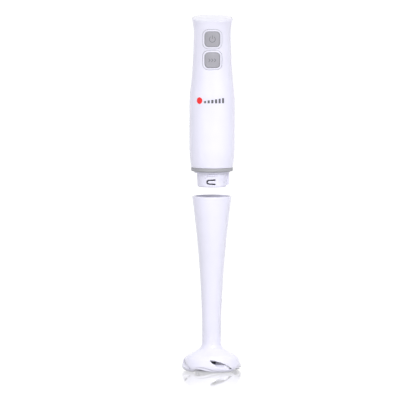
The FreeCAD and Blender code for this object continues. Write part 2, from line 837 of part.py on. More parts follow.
def make_button(name):
    """One push button: a bezel fixed in the housing, the cap in it and its switch plunger."""
    proud, up = f"{name}_proud", f"{name}_height"
    bezel = new_body(f"{name}_bezel", "lifted")
    pad(bezel, "frame", lambda sketch: rounded_square(
        sketch, "bezel - 0.1", "bezel_round", up), "bezel_depth + 4",
        offset=f"{proud} - bezel_depth")
    turn(bezel, "face", ring(
        f"{proud} + bezel_proud", "body + 9", f"{up} - bezel", f"{up} + bezel"), cut=True)
    pocket(bezel, "opening", lambda sketch: rounded_square(
        sketch, "button + 2 * button_gap", "button_round + button_gap", up), "body + 9")
    pusher = new_body(f"{name}_button", "lifted")
    pad(pusher, "key", lambda sketch: rounded_square(
        sketch, "button", "button_round", up), "button_depth + 4",
        offset=f"{proud} - button_depth")
    turn(pusher, "face", ring(
        f"{proud} + bezel_proud + 0.25", "body + 9", f"{up} - button", f"{up} + button"),
        cut=True)
    stem_reach = f"{proud} - button_depth + 0.5"
    pad(pusher, "stem", lambda sketch: rounded_square(
        sketch, "2 * stem", "stem * 0.6", up), f"{stem_reach} - switch_deep - 1",
        offset="switch_deep + 1")
    front = "board_front - switch_deep"
    case = box(f"{name}_switch_case",
               ("-switch_width / 2", front, f"{up} - switch_tall / 2"),
               ("switch_width", "switch_deep", "switch_tall"))
    room = "plunger + 2 * clearance"
    well = box(f"{name}_switch_well",
               (f"-({room}) / 2", f"{front} - 0.5", f"{up} - ({room}) / 2"),
               (room, "plunger_well", room))
    switch = doc.addObject("Part::Cut", f"{name}_switch_cut")
    switch.Base = case
    switch.Tool = well
    SUB_PARTS.remove(case)
    SUB_PARTS.remove(well)
    keep(switch, f"{name}_switch")
    box(f"{name}_plunger",
        ("-plunger / 2", "-switch_deep - 1", f"{up} - plunger / 2"),
        ("plunger", "plunger_length", "plunger"))


def make_board():
    """Circuit board behind the buttons, with the parts soldered to its back."""
    box("circuit_board",
        ("-board_half_width", "board_front", "board_bottom"),
        ("2 * board_half_width", "board_thickness", "board_top - board_bottom"))
    back = "board_front + board_thickness"
    box("suppression_capacitor", ("-8", back, "board_bottom + 2"), ("16", "8", "11"))
    box("rectifier", ("-6.5", back, "board_bottom + 15"), ("13", "4.6", "6"))
    choke = new_body("choke", "lifted + board_bottom + 23")
    bind(choke, Placement__Base__y=f"{back} + 5.05")
    turn(choke, "coil", [
        ("0", "0"), ("5", "0"), ("5", "1.2"), ("4.2", "1.2"), ("4.2", "6.8"),
        ("5", "6.8"), ("5", "8"), ("0", "8"),
    ])
    for number, side in enumerate(("-1", "1"), start=1):
        box(f"lead_{number}",
            (f"{side} * 9 - 0.8", back, "can_top + 3"),
            ("1.6", "1.6", "board_bottom + 2 - can_top"))
    group("motor_leads", SUB_PARTS[-2:])


def make_motor():
    """Permanent-magnet motor: can, magnets, end cap, brushes and its two bearings."""
    body = new_body("motor_can", "lifted")
    inner = "can - can_wall"
    turn(body, "shell", [
        ("motor_shaft + 0.6", "can_bottom"),
        ("can - 1", "can_bottom"),
        ("can", "can_bottom + 1"),
        ("can", "can_top"),
        (inner, "can_top"),
        (inner, "can_bottom + can_wall"),
        ("bearing + 1.4", "can_bottom + can_wall"),
        ("bearing + 1.4", "can_bottom + 5"),
        ("bearing", "can_bottom + 5"),
        ("bearing", "can_bottom + can_wall"),
        ("motor_shaft + 0.6", "can_bottom + can_wall"),
    ])
    body = new_body("front_bearing", "lifted")
    turn(body, "race", ring(
        "motor_shaft + bush_fit", "bearing", "can_bottom + can_wall", "can_bottom + 5"))
    magnets = []
    for number, side in enumerate(("0", "180"), start=1):
        magnets.append(new_body(f"magnet_{number}", "lifted"))
        turn(magnets[-1], "arc", ring(
            "magnet_inside", inner, "magnet_bottom", "magnet_top"),
            sweep="magnet_sweep", start=f"{side} - magnet_sweep / 2")
    group("magnets", magnets)
    body = new_body("motor_end_cap", "lifted")
    turn(body, "cap", [
        ("motor_shaft + 0.6", "can_top + 5"),
        ("motor_shaft + 0.6", "can_top + 6.2"),
        ("bearing + 1.6", "can_top + 6.2"),
        ("bearing + 1.6", "can_top + 3"),
        ("can - 0.6", "can_top + 3"),
        ("can - 0.2", "can_top + 2.4"),
        ("can - 0.2", "can_top"),
        ("bearing", "can_top"),
        ("bearing", "can_top + 5"),
    ])
    body = new_body("rear_bearing", "lifted")
    turn(body, "race", ring(
        "motor_shaft + bush_fit", "bearing", "can_top", "can_top + 5"))
    brushes = []
    for number, low in enumerate(("commutator + 0.1", "-commutator - 8.1"), start=1):
        brushes.append(box(
            f"brush_{number}", (low, "-2.5", "commutator_bottom + 1.5"), ("8", "5", "5")))
    group("carbon_brushes", brushes)
    body = new_body("lower_motor_mount", "lifted")
    turn(body, "rubber", ring(
        "bearing + 2", "body - housing_wall - 2.1", "retainer_top", "can_bottom"))
    body = new_body("upper_motor_mount", "lifted")
    turn(body, "rubber", ring(
        "can", "body - housing_wall - 0.05", "can_top - 10", "can_top - 4"))
    body = new_body("shaft_felt", "lifted")
    turn(body, "felt", ring(
        "motor_shaft + 0.1", "motor_shaft + 5.2", "flange_top", "flange_top + 1.2"))


def make_armature():
    """What spins in the motor: shaft, laminated core, coils, commutator and drive cup."""
    body = new_body("motor_shaft", "lifted")
    turn(body, "rod", ring("0", "motor_shaft", "cup_roof", "can_top + 8"))
    body = new_body("armature_core", "lifted")
    turn(body, "stack", ring("motor_shaft", "core", "core_bottom", "core_top"))
    slot = pocket(body, "coil_slot", lambda sketch: outline(sketch, [
        ("-core_slot", "core_bottom - 1"), ("core_slot", "core_bottom - 1"),
        ("core_slot", "core_top + 1"), ("-core_slot", "core_top + 1"),
    ]), "core - 6", offset="7")
    around(body, [slot], "core_slots")
    coils = new_body("armature_coils", "lifted")
    for name, low, high in (("lower", "core_bottom - coil_head", "core_bottom"),
                            ("upper", "core_top", "core_top + coil_head")):
        turn(coils, f"{name}_heads", [
            ("coil_inside", low), ("core - 2.4", low), ("core - 1", f"{low} + 1"),
            ("core - 1", f"{high} - 1"), ("core - 1", high), ("coil_inside", high),
        ])
        if name == "lower":
            bars = pad(coils, "bar", lambda sketch: outline(sketch, [
                ("-coil_bar", "core_bottom - 0.5"), ("coil_bar", "core_bottom - 0.5"),
                ("coil_bar", "core_top + 0.5"), ("-coil_bar", "core_top + 0.5"),
            ]), "core - 8.4", offset="7.2")
            around(coils, [bars], "core_slots")
    body = new_body("commutator", "lifted")
    turn(body, "bars", ring(
        "motor_shaft", "commutator", "commutator_bottom", "commutator_top"))
    groove = pocket(body, "gap", lambda sketch: outline(sketch, [
        ("-commutator_gap / 2", "commutator_bottom - 1"),
        ("commutator_gap / 2", "commutator_bottom - 1"),
        ("commutator_gap / 2", "commutator_top - 1.5"),
        ("-commutator_gap / 2", "commutator_top - 1.5"),
    ]), "commutator", offset="commutator - 0.6")
    around(body, [groove], "core_slots")
    body = new_body("drive_cup", "lifted")
    turn(body, "cup", [
        ("motor_shaft", "cup_roof"),
        ("cup_inside", "cup_roof"),
        ("cup_inside", "cup_bottom + 1"),
        ("cup_inside + 1", "cup_bottom"),
        ("cup - 0.4", "cup_bottom"),
        ("cup", "cup_bottom + 0.4"),
        ("cup", "cup_top - 0.6"),
        ("cup - 0.6", "cup_top"),
        ("motor_shaft", "cup_top"),
    ])
    rib = turn(body, "rib", ring(
        "dog + 0.4", "cup_inside + 0.2", "cup_bottom + 1.2", "cup_roof"),
        sweep="dog_wing_sweep", start="-dog_wing_sweep / 2")
    around(body, [rib], "2")


def make_cord_inlet():
    """The cord's inlet at the back of the handle, and the clamp behind it. No cord."""
    body = new_body("cord_inlet", "lifted + inlet_height")
    lay(body, "sleeve", [
        ("inlet_base", "inlet_bore"),
        ("inlet_base", "inlet_collar"),
        ("inlet_base + 1.6", "inlet_collar"),
        ("inlet_base + 1.6", "inlet_sleeve"),
        ("grip + 0.4", "inlet_sleeve"),
        ("grip + 0.4", "inlet_collar - 0.6"),
        ("grip + 2", "inlet_collar - 0.9"),
        ("inlet_reach - 0.6", "inlet_sleeve - 0.5"),
        ("inlet_reach", "inlet_sleeve - 1"),
        ("inlet_reach", "inlet_bore"),
    ])
    bar = new_body("cord_clamp", "lifted")
    pad(bar, "bar", lambda sketch: outline(sketch, [
        ("-clamp_half_width", "clamp_height - clamp_post"),
        ("clamp_half_width", "clamp_height - clamp_post"),
        ("clamp_half_width", "clamp_height + clamp_post"),
        ("-clamp_half_width", "clamp_height + clamp_post"),
    ]), "clamp_thickness", offset="-(clamp_face + clamp_thickness)")
    screws = []
    for number, side in enumerate(("-1", "1"), start=1):
        across = f"{side} * clamp_across"
        pocket(bar, f"hole_{number}", lambda sketch: circle(
            sketch, "screw * 0.7", across, "clamp_height"), "body", outwards=False)
        screw = new_body(f"clamp_screw_{number}", "lifted + clamp_height")
        bind(screw, Placement__Base__x=across)
        lay(screw, "screw", [
            ("clamp_face - 1.4", "0"),
            ("clamp_face - 1.4", "screw_head * 0.5"),
            ("clamp_face - 0.8", "screw_head * 0.75"),
            ("clamp_face", "screw_head * 0.75"),
            ("clamp_face", "screw * 0.7"),
            ("clamp_face + clamp_thickness + 3", "screw * 0.7"),
            ("clamp_face + clamp_thickness + 3", "0"),
        ])
        screws.append(screw)
    group("clamp_screws", screws)


def make_screws():
    """Four screws from the back, which draw the two half shells together."""
    screws = []
    for _, across, up, reach in boss_places("boss"):
        body = new_body(f"housing_screw_{len(screws) + 1}", f"lifted + {up}")
        bind(body, Placement__Base__x=across)
        seat = f"({reach} - screw_seat_depth)"
        head = f"{seat} + screw_head_thickness"
        lay(body, "screw", [
            ("-screw_tip", "0"),
            ("-screw_tip + 1", "screw"),
            (seat, "screw"),
            (seat, "screw_head"),
            (f"{head} - 0.6", "screw_head"),
            (head, "screw_head - 0.8"),
            (head, "0"),
        ])
        screws.append(body)
    group("housing_screws", screws)


def main():
    """Make every sub-part, prove each one, and write its file."""
    make_leg_tube()
    make_leg_bearings()
    make_blade()
    make_leg_drive()
    make_connector()
    make_seal_ring()
    make_housings()
    make_top_cap()
    make_button("power")
    make_button("turbo")
    make_board()
    make_motor()
    make_armature()
    make_cord_inlet()
    make_screws()
    doc.recompute()
    for thing in doc.Objects:
        if "Invalid" in thing.State or "Error" in thing.State:
            raise RuntimeError(f"{thing.Label} didn't compute: {thing.State}")
    for part in SUB_PARTS:
        if part.Shape.isNull() or not part.Shape.isValid():
            raise RuntimeError(f"{part.Label} has no valid shape")
        part.Shape.exportStep(f"parts/{part.Label}.step")
        print(f"{part.Label:24s} {part.Shape.Volume:10.1f} mm3, solids {len(part.Shape.Solids)}")


main()
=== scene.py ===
"""Looks for the immersion blender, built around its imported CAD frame.

Shapes are worked out in millimetres in the frame's own axes, and written in metres.
Azimuths are in degrees, from the front (-Y) towards the right (+X). A profile is a line of
(radius, height) points. Heights of the motor unit's pieces are above its connector's foot.
"""

import json
import math

import bmesh
import bpy
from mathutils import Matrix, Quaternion, Vector, geometry, kdtree


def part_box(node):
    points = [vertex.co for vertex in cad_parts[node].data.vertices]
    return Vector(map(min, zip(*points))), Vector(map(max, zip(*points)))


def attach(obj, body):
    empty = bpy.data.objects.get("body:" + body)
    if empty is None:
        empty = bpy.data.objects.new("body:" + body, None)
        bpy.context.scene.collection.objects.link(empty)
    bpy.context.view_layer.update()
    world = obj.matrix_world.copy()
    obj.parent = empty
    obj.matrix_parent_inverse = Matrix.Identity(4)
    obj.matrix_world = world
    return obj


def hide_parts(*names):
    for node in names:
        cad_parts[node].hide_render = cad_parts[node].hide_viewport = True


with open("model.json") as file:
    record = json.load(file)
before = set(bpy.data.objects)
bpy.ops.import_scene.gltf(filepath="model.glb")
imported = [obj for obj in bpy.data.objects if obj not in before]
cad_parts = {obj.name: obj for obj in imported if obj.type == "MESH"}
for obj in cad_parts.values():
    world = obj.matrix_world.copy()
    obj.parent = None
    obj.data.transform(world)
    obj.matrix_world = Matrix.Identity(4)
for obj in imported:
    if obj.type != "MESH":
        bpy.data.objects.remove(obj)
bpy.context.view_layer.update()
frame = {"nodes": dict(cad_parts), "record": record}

MM = 0.001
LEG_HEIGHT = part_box("leg_tube")[1].z / MM
LEG_RADIUS = 21.1
NECK_RADIUS = 10.0
BELL_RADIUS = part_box("leg_tube")[1].x / MM
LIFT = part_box("connector")[0].z / MM
CONNECTOR_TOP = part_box("connector")[1].z / MM - LIFT
SEAL_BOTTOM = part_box("seal_ring")[0].z / MM - LIFT
SEAL_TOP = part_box("seal_ring")[1].z / MM - LIFT
SEAL_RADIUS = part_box("seal_ring")[1].x / MM
HOUSING_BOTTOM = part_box("front_housing")[0].z / MM - LIFT
BODY_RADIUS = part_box("front_housing")[1].x / MM
HOUSING_WALL = 2.3
CROWN_SIDE_HEIGHT = 178.2
CROWN_TILT = math.tan(math.radians(8.0))
CAP_RADIUS = 20.4
KEY_HEIGHTS = {
    name: (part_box(f"{name}_button")[0].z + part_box(f"{name}_button")[1].z) / 2 / MM - LIFT
    for name in ("power", "turbo")
}
KEY_PROUD = {"power": 20.35, "turbo": 20.85}
KEY_SIDE, KEY_CORNER = 15.9, 4.2
BEZEL_SIDE, BEZEL_CORNER = 20.3, 6.2
INLET_HEIGHT = (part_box("cord_inlet")[0].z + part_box("cord_inlet")[1].z) / 2 / MM - LIFT
INLET_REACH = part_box("cord_inlet")[1].y / MM
SCREW_PLACES = [(side * 13.6, up) for up in (98.0, 165.0) for side in (-1, 1)]
COLUMN = 2.0
EDGE_STEPS = 4
KEEP_CLEAR = 0.65


# ---------------------------------------------------------------- lines and profiles

def spline(poles, count):
    """Points along a clamped uniform cubic B-spline with these control points."""
    degree = min(3, len(poles) - 1)
    spans = len(poles) - degree
    knots = [0] * degree + list(range(spans + 1)) + [spans] * degree
    points = []
    for step in range(count + 1):
        t = min(spans * step / count, spans - 1e-7)
        first = int(t)
        work = [Vector(poles[first + j]) for j in range(degree + 1)]
        for level in range(1, degree + 1):
            for j in range(degree, level - 1, -1):
                low = knots[first + j]
                high = knots[first + j + degree + 1 - level]
                work[j] = work[j - 1].lerp(work[j], (t - low) / (high - low))
        points.append(work[degree])
    return points


def joined(*lines):
    """Several lines end to end, without doubled points."""
    points = []
    for line in lines:
        for point in line:
            point = Vector(point)
            if not points or (point - points[-1]).length > 1e-4:
                points.append(point)
    return points


def spaced(start, end, count):
    """Evenly spaced numbers from one to another, in a number of steps."""
    return [start + (end - start) * k / count for k in range(count + 1)]


def bend(start, corner, end, count=5):
    """A rounded corner between two points, drawn towards the corner."""
    start, corner, end = Vector(start), Vector(corner), Vector(end)
    return [start.lerp(corner, t).lerp(corner.lerp(end, t), t) for t in spaced(0, 1, count)]


def eased(points, radius, count=4):
    """A line with each inner corner cut back by a radius and rounded."""
    points = [Vector(p) for p in points]
    line = [points[0]]
    for before, corner, after in zip(points, points[1:], points[2:]):
        back = min(radius, (before - corner).length * 0.45)
        ahead = min(radius, (after - corner).length * 0.45)
        start = corner + (before - corner).normalized() * back
        end = corner + (after - corner).normalized() * ahead
        line += bend(start, corner, end, count)
    return line + [points[-1]]


def resampled(points, spacing, closed=True):
    """Points at an even spacing along a line."""
    points = [Vector(p) for p in points]
    if closed:
        points = points + [points[0]]
    reach = [0.0]
    for a, b in zip(points, points[1:]):
        reach.append(reach[-1] + (b - a).length)
    count = max(3, round(reach[-1] / spacing))
    result, k = [], 0
    for step in range(count if closed else count + 1):
        target = reach[-1] * step / count
        while k < len(points) - 2 and reach[k + 1] < target:
            k += 1
        span = reach[k + 1] - reach[k]
        result.append(points[k].lerp(points[k + 1], (target - reach[k]) / span if span else 0))
    return result


def softened(points, passes, closed=True):
    """A line with its corners rounded, or a list of numbers evened out, by averaging
    neighbours."""
    last = len(points)
    for _ in range(passes):
        means = [(points[k - 1] + 2 * points[k] + points[(k + 1) % last]) / 4
                 for k in range(last)]
        points = means if closed else [points[0], *means[1:-1], points[-1]]
    return points


def offset(points, distance, closed=True):
    """A line moved to its right by a distance, or by a distance for each point."""
    last = len(points)
    distances = distance if isinstance(distance, list) else [distance] * last
    shifted = []
    for k, (point, far) in enumerate(zip(points, distances)):
        before = points[k - 1] if closed or k else point
        after = points[(k + 1) % last] if closed or k < last - 1 else point
        along = (after - before).normalized()
        shifted.append(point + Vector((along.y, -along.x)) * far)
    return shifted


def circle(count, radius):
    """A closed round loop, (across, up), round its own centre."""
    return [Vector((math.cos(t), math.sin(t))) * radius
            for t in spaced(0, 2 * math.pi, count)[:-1]]


def ruled(first, last, shares):
    """Lines that lie at given shares of the way between two lines of matching points."""
    return [[a.lerp(b, share) for a, b in zip(first, last)] for share in shares]


def stepped(table, value):
    """A number read off a table of (value, number) by straight lines."""
    for (low, first), (high, last) in zip(table, table[1:]):
        if value <= high:
            return first + (last - first) * max(0.0, (value - low) / (high - low))
    return table[-1][1]


class Profile:
    """A line of (radius, height) points, measured along its length."""

    def __init__(self, points):
        self.points = joined(points)
        self.reach = [0.0]
        for a, b in zip(self.points, self.points[1:]):
            self.reach.append(self.reach[-1] + (b - a).length)

    def at(self, distance):
        """The (radius, height) at a distance along the line."""
        k = 0
        while k < len(self.points) - 2 and self.reach[k + 1] < distance:
            k += 1
        share = (distance - self.reach[k]) / (self.reach[k + 1] - self.reach[k])
        return self.points[k].lerp(self.points[k + 1], share)

    def where(self, height):
        """The distance along the line at which it has a height, for a line that only falls
        or only rises."""
        for k, (a, b) in enumerate(zip(self.points, self.points[1:])):
            if min(a.y, b.y) - 1e-5 <= height <= max(a.y, b.y) + 1e-5 and a.y != b.y:
                share = (height - a.y) / (b.y - a.y)
                return self.reach[k] + share * (self.reach[k + 1] - self.reach[k])
        raise ValueError(f"no height {height} on this profile")

    def radius(self, height):
        """The radius at a height."""
        return self.at(self.where(height)).x


def outwards(azimuth):
    """The level direction away from the axis at an azimuth."""
    turned = math.radians(azimuth)
    return Vector((math.sin(turned), -math.cos(turned), 0))


def sideways(azimuth):
    """The level direction along which azimuths grow."""
    turned = math.radians(azimuth)
    return Vector((math.cos(turned), math.sin(turned), 0))


def spot(azimuth, radius, height):
    """A place in the frame, in millimetres."""
    return outwards(azimuth) * radius + Vector((0, 0, height))


# ---------------------------------------------------------------- meshes

class Build:
    """Vertices, in millimetres, and faces of a mesh in the making."""

    def __init__(self):
        self.verts, self.faces = [], []

    def grid(self, rows, around=False, loop=False):
        """Quads between successive rows of points."""
        first, width = len(self.verts), len(rows[0])
        for row in rows:
            self.verts += [Vector(p) for p in row]
        bands = len(rows) if loop else len(rows) - 1
        for j in range(bands):
            low, high = first + j * width, first + ((j + 1) % len(rows)) * width
            for k in range(width if around else width - 1):
                m = (k + 1) % width
                self.faces.append((low + k, low + m, high + m, high + k))

    def cap(self, ring):
        """A flat face over a closed ring of points, in triangles."""
        first = len(self.verts)
        self.verts += [Vector(p) for p in ring]
        for a, b, c in geometry.tessellate_polygon([ring]):
            self.faces.append((first + a, first + b, first + c))

    def fan(self, ring):
        """Triangles from a closed ring of points to its middle."""
        middle = sum((Vector(p) for p in ring), Vector()) / len(ring)
        self.grid([ring, [middle] * len(ring)], around=True)

    def add(self, other, turned):
        """Another mesh in the making, turned about the axis."""
        first = len(self.verts)
        cos, sin = math.cos(math.radians(turned)), math.sin(math.radians(turned))
        self.verts += [Vector((v.x * cos - v.y * sin, v.x * sin + v.y * cos, v.z))
                       for v in other.verts]
        self.faces += [tuple(first + k for k in face) for face in other.faces]

    def mesh(self, name, lift):
        """The finished mesh, lifted, in metres, closed up and facing outwards."""
        bm = bmesh.new()
        raised = Vector((0, 0, lift))
        verts = [bm.verts.new((v + raised) * MM) for v in self.verts]
        for face in self.faces:
            corners = list(dict.fromkeys(face))
            bm.faces.new([verts[k] for k in corners])
        bmesh.ops.remove_doubles(bm, verts=bm.verts, dist=2e-6)
        bmesh.ops.dissolve_degenerate(bm, edges=bm.edges, dist=1e-7)
        bmesh.ops.recalc_face_normals(bm, faces=bm.faces)
        data = bpy.data.meshes.new(name)
        bm.to_mesh(data)
        bm.free()
        data.polygons.foreach_set("use_smooth", [True] * len(data.polygons))
        return data


def inside(point, loop):
    """Whether a 2-D point lies in a closed loop."""
    crossed = False
    x, y = point
    for a, b in zip(loop, loop[1:] + loop[:1]):
        if (a[1] > y) != (b[1] > y) and x < (b[0] - a[0]) * (y - a[1]) / (b[1] - a[1]) + a[0]:
            crossed = not crossed
    return crossed


def pierced(build, place, border, holes, spacing):
    """Fill between a border and holes with small triangles, whose free points keep clear of
    both by a share of their spacing. Loops are in flat coordinates of about the true size,
    and place puts a flat point on the surface."""
    loops = [border, *holes]
    coords = [Vector(p) for loop in loops for p in loop]
    edges, first = [], 0
    for loop in loops:
        count = len(loop)
        edges += [(first + k, first + (k + 1) % count) for k in range(count)]
        first += count
    near = kdtree.KDTree(len(coords))
    for k, p in enumerate(coords):
        near.insert((p.x, p.y, 0), k)
    near.balance()
    low_x, high_x = min(p[0] for p in border), max(p[0] for p in border)
    low_y, high_y = min(p[1] for p in border), max(p[1] for p in border)
    across, along = int((high_x - low_x) / spacing), int((high_y - low_y) / spacing)
    for i in range(1, across):
        for j in range(1, along):
            p = Vector((low_x + (high_x - low_x) * i / across,
                        low_y + (high_y - low_y) * j / along))
            if near.find((p.x, p.y, 0))[2] < spacing * KEEP_CLEAR:
                continue
            if inside(p, border) and not any(inside(p, hole) for hole in holes):
                coords.append(p)
    found = geometry.delaunay_2d_cdt(coords, edges, [], 0, 1e-5)
    verts, faces = found[0], found[2]
    first = len(build.verts)
    build.verts += [place(v) for v in verts]
    for face in faces:
        middle = sum((verts[k] for k in face), Vector((0, 0))) / len(face)
        if inside(middle, border) and not any(inside(middle, hole) for hole in holes):
            build.faces.append(tuple(first + k for k in face))


class Hole:
    """A straight hole through a turned wall, seen along its own azimuth. Its loop runs
    clockwise in (across, height) as seen from outside, so that offset moves it outwards."""

    def __init__(self, azimuth, loop, loop_inside=None):
        area = sum(a.x * b.y - b.x * a.y for a, b in zip(loop, loop[1:] + loop[:1]))
        turned = (lambda points: points[::-1]) if area < 0 else list
        self.azimuth = azimuth
        self.loop = turned(loop)
        self.loop_inside = turned(loop_inside) if loop_inside else self.loop

    def on(self, profile, point):
        """The place on a turned surface behind a flat point."""
        radius = profile.radius(point.y)
        deep = math.sqrt(max(radius ** 2 - point.x ** 2, 0))
        return (sideways(self.azimuth) * point.x + outwards(self.azimuth) * deep
                + Vector((0, 0, point.y)))

    def flat(self, profile, loop, scale):
        """A loop in the flat coordinates of a turned surface."""
        flat = []
        for point in loop:
            turned = math.asin(point.x / profile.radius(point.y))
            flat.append(Vector((math.radians(self.azimuth) * scale + turned * scale,
                                profile.where(point.y))))
        return flat

    def edge(self, profile, loop, rounding, inwards):
        """Rings that round a loop's edge over, from the surface into the hole."""
        rings = []
        for angle in spaced(0, math.pi / 2, EDGE_STEPS):
            spread = offset(loop, rounding * (1 - math.sin(angle)))
            deep = outwards(self.azimuth) * (rounding * (1 - math.cos(angle)) * inwards)
            rings.append([self.on(profile, p) - deep for p in spread])
        return rings

    def wall(self, build, outer, inner, rounding, round_inside):
        """The hole's wall from the outer skin to the inner one."""
        outside = self.edge(outer, self.loop, rounding, 1)
        within = self.edge(inner, self.loop_inside, round_inside, -1)[::-1]
        middle = ruled(outside[-1], within[0], [0.5])
        build.grid([*outside, *middle, *within], around=True)

    def pit(self, build, outer, rounding, floor):
        """The wall and flat floor of a blind hole, whose floor is at a distance outwards."""
        rings = self.edge(outer, self.loop, rounding, 1)
        rings.append([
            sideways(self.azimuth) * p.x + outwards(self.azimuth) * floor
            + Vector((0, 0, p.y)) for p in self.loop
        ])
        build.grid(rings, around=True)
        build.fan(rings[-1])


def turned_on(profile, scale):
    """Puts flat coordinates (scaled azimuth, distance along) on a turned surface."""
    def place(point):
        radius, height = profile.at(point[1])
        return spot(math.degrees(point[0] / scale), radius, height)
    return place


def azimuths(start, end):
    """Evenly spaced azimuths from one to another."""
    return spaced(start, end, max(1, round((end - start) / COLUMN)))


def rectangle(columns, distances, scale):
    """The border of a patch of a turned surface, through its grid's own points."""
    across = [math.radians(a) * scale for a in columns]
    low, high = distances[0], distances[-1]
    return ([Vector((x, low)) for x in across]
            + [Vector((across[-1], s)) for s in distances[1:]]
            + [Vector((x, high)) for x in across[-2::-1]]
            + [Vector((across[0], s)) for s in distances[-2:0:-1]])


def turned_grid(build, line, columns, around=False):
    """Quads over a line of (radius, height) points turned through azimuths."""
    build.grid([[spot(a, p[0], p[1]) for a in columns] for p in line], around=around)


def pierced_patch(build, profile, columns, distances, holes, scale, spacing):
    """A patch of a turned surface with holes, each given with the rounding of its edge."""
    loops = [hole.flat(profile, offset(hole.loop, wide), scale) for hole, wide in holes]
    pierced(build, turned_on(profile, scale), rectangle(columns, distances, scale), loops,
            spacing)


def ring_columns():
    """Azimuths all the way round, without the last."""
    return azimuths(0, 360)[:-1]


def rounded_square(side, corner, spacing=0.6):
    """A closed loop, (across, up), round its own centre."""
    half, flat = side / 2, side / 2 - corner
    points = []
    for quarter in range(4):
        centre = Vector(((flat, flat), (-flat, flat), (-flat, -flat), (flat, -flat))[quarter])
        for k in range(13):
            angle = math.pi / 2 * (quarter + k / 12)
            points.append(centre + Vector((math.cos(angle), math.sin(angle))) * corner)
    return resampled(points, spacing)


def moved(loop, across, up):
    """A loop moved bodily."""
    return [p + Vector((across, up)) for p in loop]


# ---------------------------------------------------------------- leg

BAND_TOP = 17.2
PITCH = 90.0
SEAM = [(52.0, BAND_TOP), (52.0, 7.0), (51.0, 4.2), (48.0, 2.7), (36.0, 1.8)]
FOOT_AZIMUTH = 36.0
SLOT_AZIMUTH = 21.5
ARCH_AZIMUTH = -9.0
FOOT_ROUNDING = 0.6
FLAT_RADIUS, BELL_SPACING = 29.0, 1.15
MM_PER_DEGREE = math.radians(1) * FLAT_RADIUS

SLOT_HIGH, SLOT_TIP, SLOT_HEEL = (-12.2, 13.4), (12.3, 3.6), (-9.9, 9.9)
SLOT_STEPS = 34
SLOT_EDGE, SLOT_EDGE_INSIDE = 0.45, 0.25
# The ramp's top runs just under the slot's upper edge between these two places.
SHALLOW_FROM, SHALLOW_TO = 4.1, 7.7
RAMP_DEPTH = 4.4
# (across, share of the ramp's depth)
RAMP_SHARES = [(-9.9, 0.0), (-8.5, 0.6), (-5.0, 1.0), (2.8, 1.0), (3.7, -0.1), (4.4, -0.3),
               (7.2, -0.3), (8.6, 0.5), (9.9, 0.9), (11.4, 0.6), (12.3, 0.0)]

# (azimuth, width of the lip) and (azimuth, depth of the step above it)
LIP_WIDTHS = [(-38, FOOT_ROUNDING), (-33, 1.3), (-25, 2.5), (-15, 3.0), (-4, 2.8), (6, 2.3),
              (16, 1.5), (24, 0.8), (30, FOOT_ROUNDING)]
LIP_STEPS = [(-35, 0.0), (-27, 0.9), (-15, 1.3), (0, 1.2), (12, 0.7), (22, 0.0)]
# Each ring's height above the edge, as (share of the width, more, more for a step), and its
# depth under the skin, as (share of the step, more). The outer ones step in under the skin
# and come out again along a sloping lip.
LIP_OUTSIDE = [
    (1.0, 0.0, 0.30, 0.0, 0.0), (1.0, 0.0, 0.08, 0.06, 0.01), (1.0, -0.06, 0.0, 0.30, 0.04),
    (1.0, -0.14, 0.0, 0.75, 0.05), (1.0, -0.26, 0.0, 0.95, 0.06),
    (0.75, 0.0, 0.0, 0.82, 0.08), (0.50, 0.0, 0.0, 0.55, 0.10),
    (0.28, 0.12, 0.0, 0.28, 0.16), (0.0, 0.30, 0.0, 0.10, 0.24),
    (0.0, 0.08, 0.0, 0.10, 0.50), (0.0, 0.0, 0.0, 0.10, 0.85),
]
LIP_INSIDE = [(0.0, 0.8, 0.0, 0.0, 0.0), (0.0, 0.3, 0.0, 0.0, -0.1),
              (0.0, 0.0, 0.0, 0.0, -0.5)]

KEYWAY_RADIUS, KEYWAY_BOTTOM = 18.25, 170.0
KEYWAY_SPAN = (60.0, 100.5)
LUG_SPAN = (-50, -28)


def leg_outside():
    """The leg's outside from its rim down to its foot."""
    tube = spline([(LEG_RADIUS, LEG_HEIGHT), (14.2, 134.3), (10.2, 83.7),
                   (NECK_RADIUS, 33.0)], 60)
    bell = spline([(NECK_RADIUS, 33.0), (NECK_RADIUS, 27.4), (11.3, 23.8), (15.8, 21.0),
                   (21.4, 18.0), (27.9, 15.4), (BELL_RADIUS, 7.5), (BELL_RADIUS, 4.6)], 90)
    foot = spline([(BELL_RADIUS, 4.6), (BELL_RADIUS, 2.2), (29.8, 0.9), (27.8, 0.0)], 20)
    return Profile(joined(tube, bell, foot))


def bell_inside():
    """The bell's inside from its hub down to its foot."""
    return Profile(spline([(7.6, 19.2), (12.6, 19.2), (19.2, 16.8), (27.4, 12.6),
                           (28.9, 8.2), (28.3, 3.2), (25.9, 0.0)], 90))


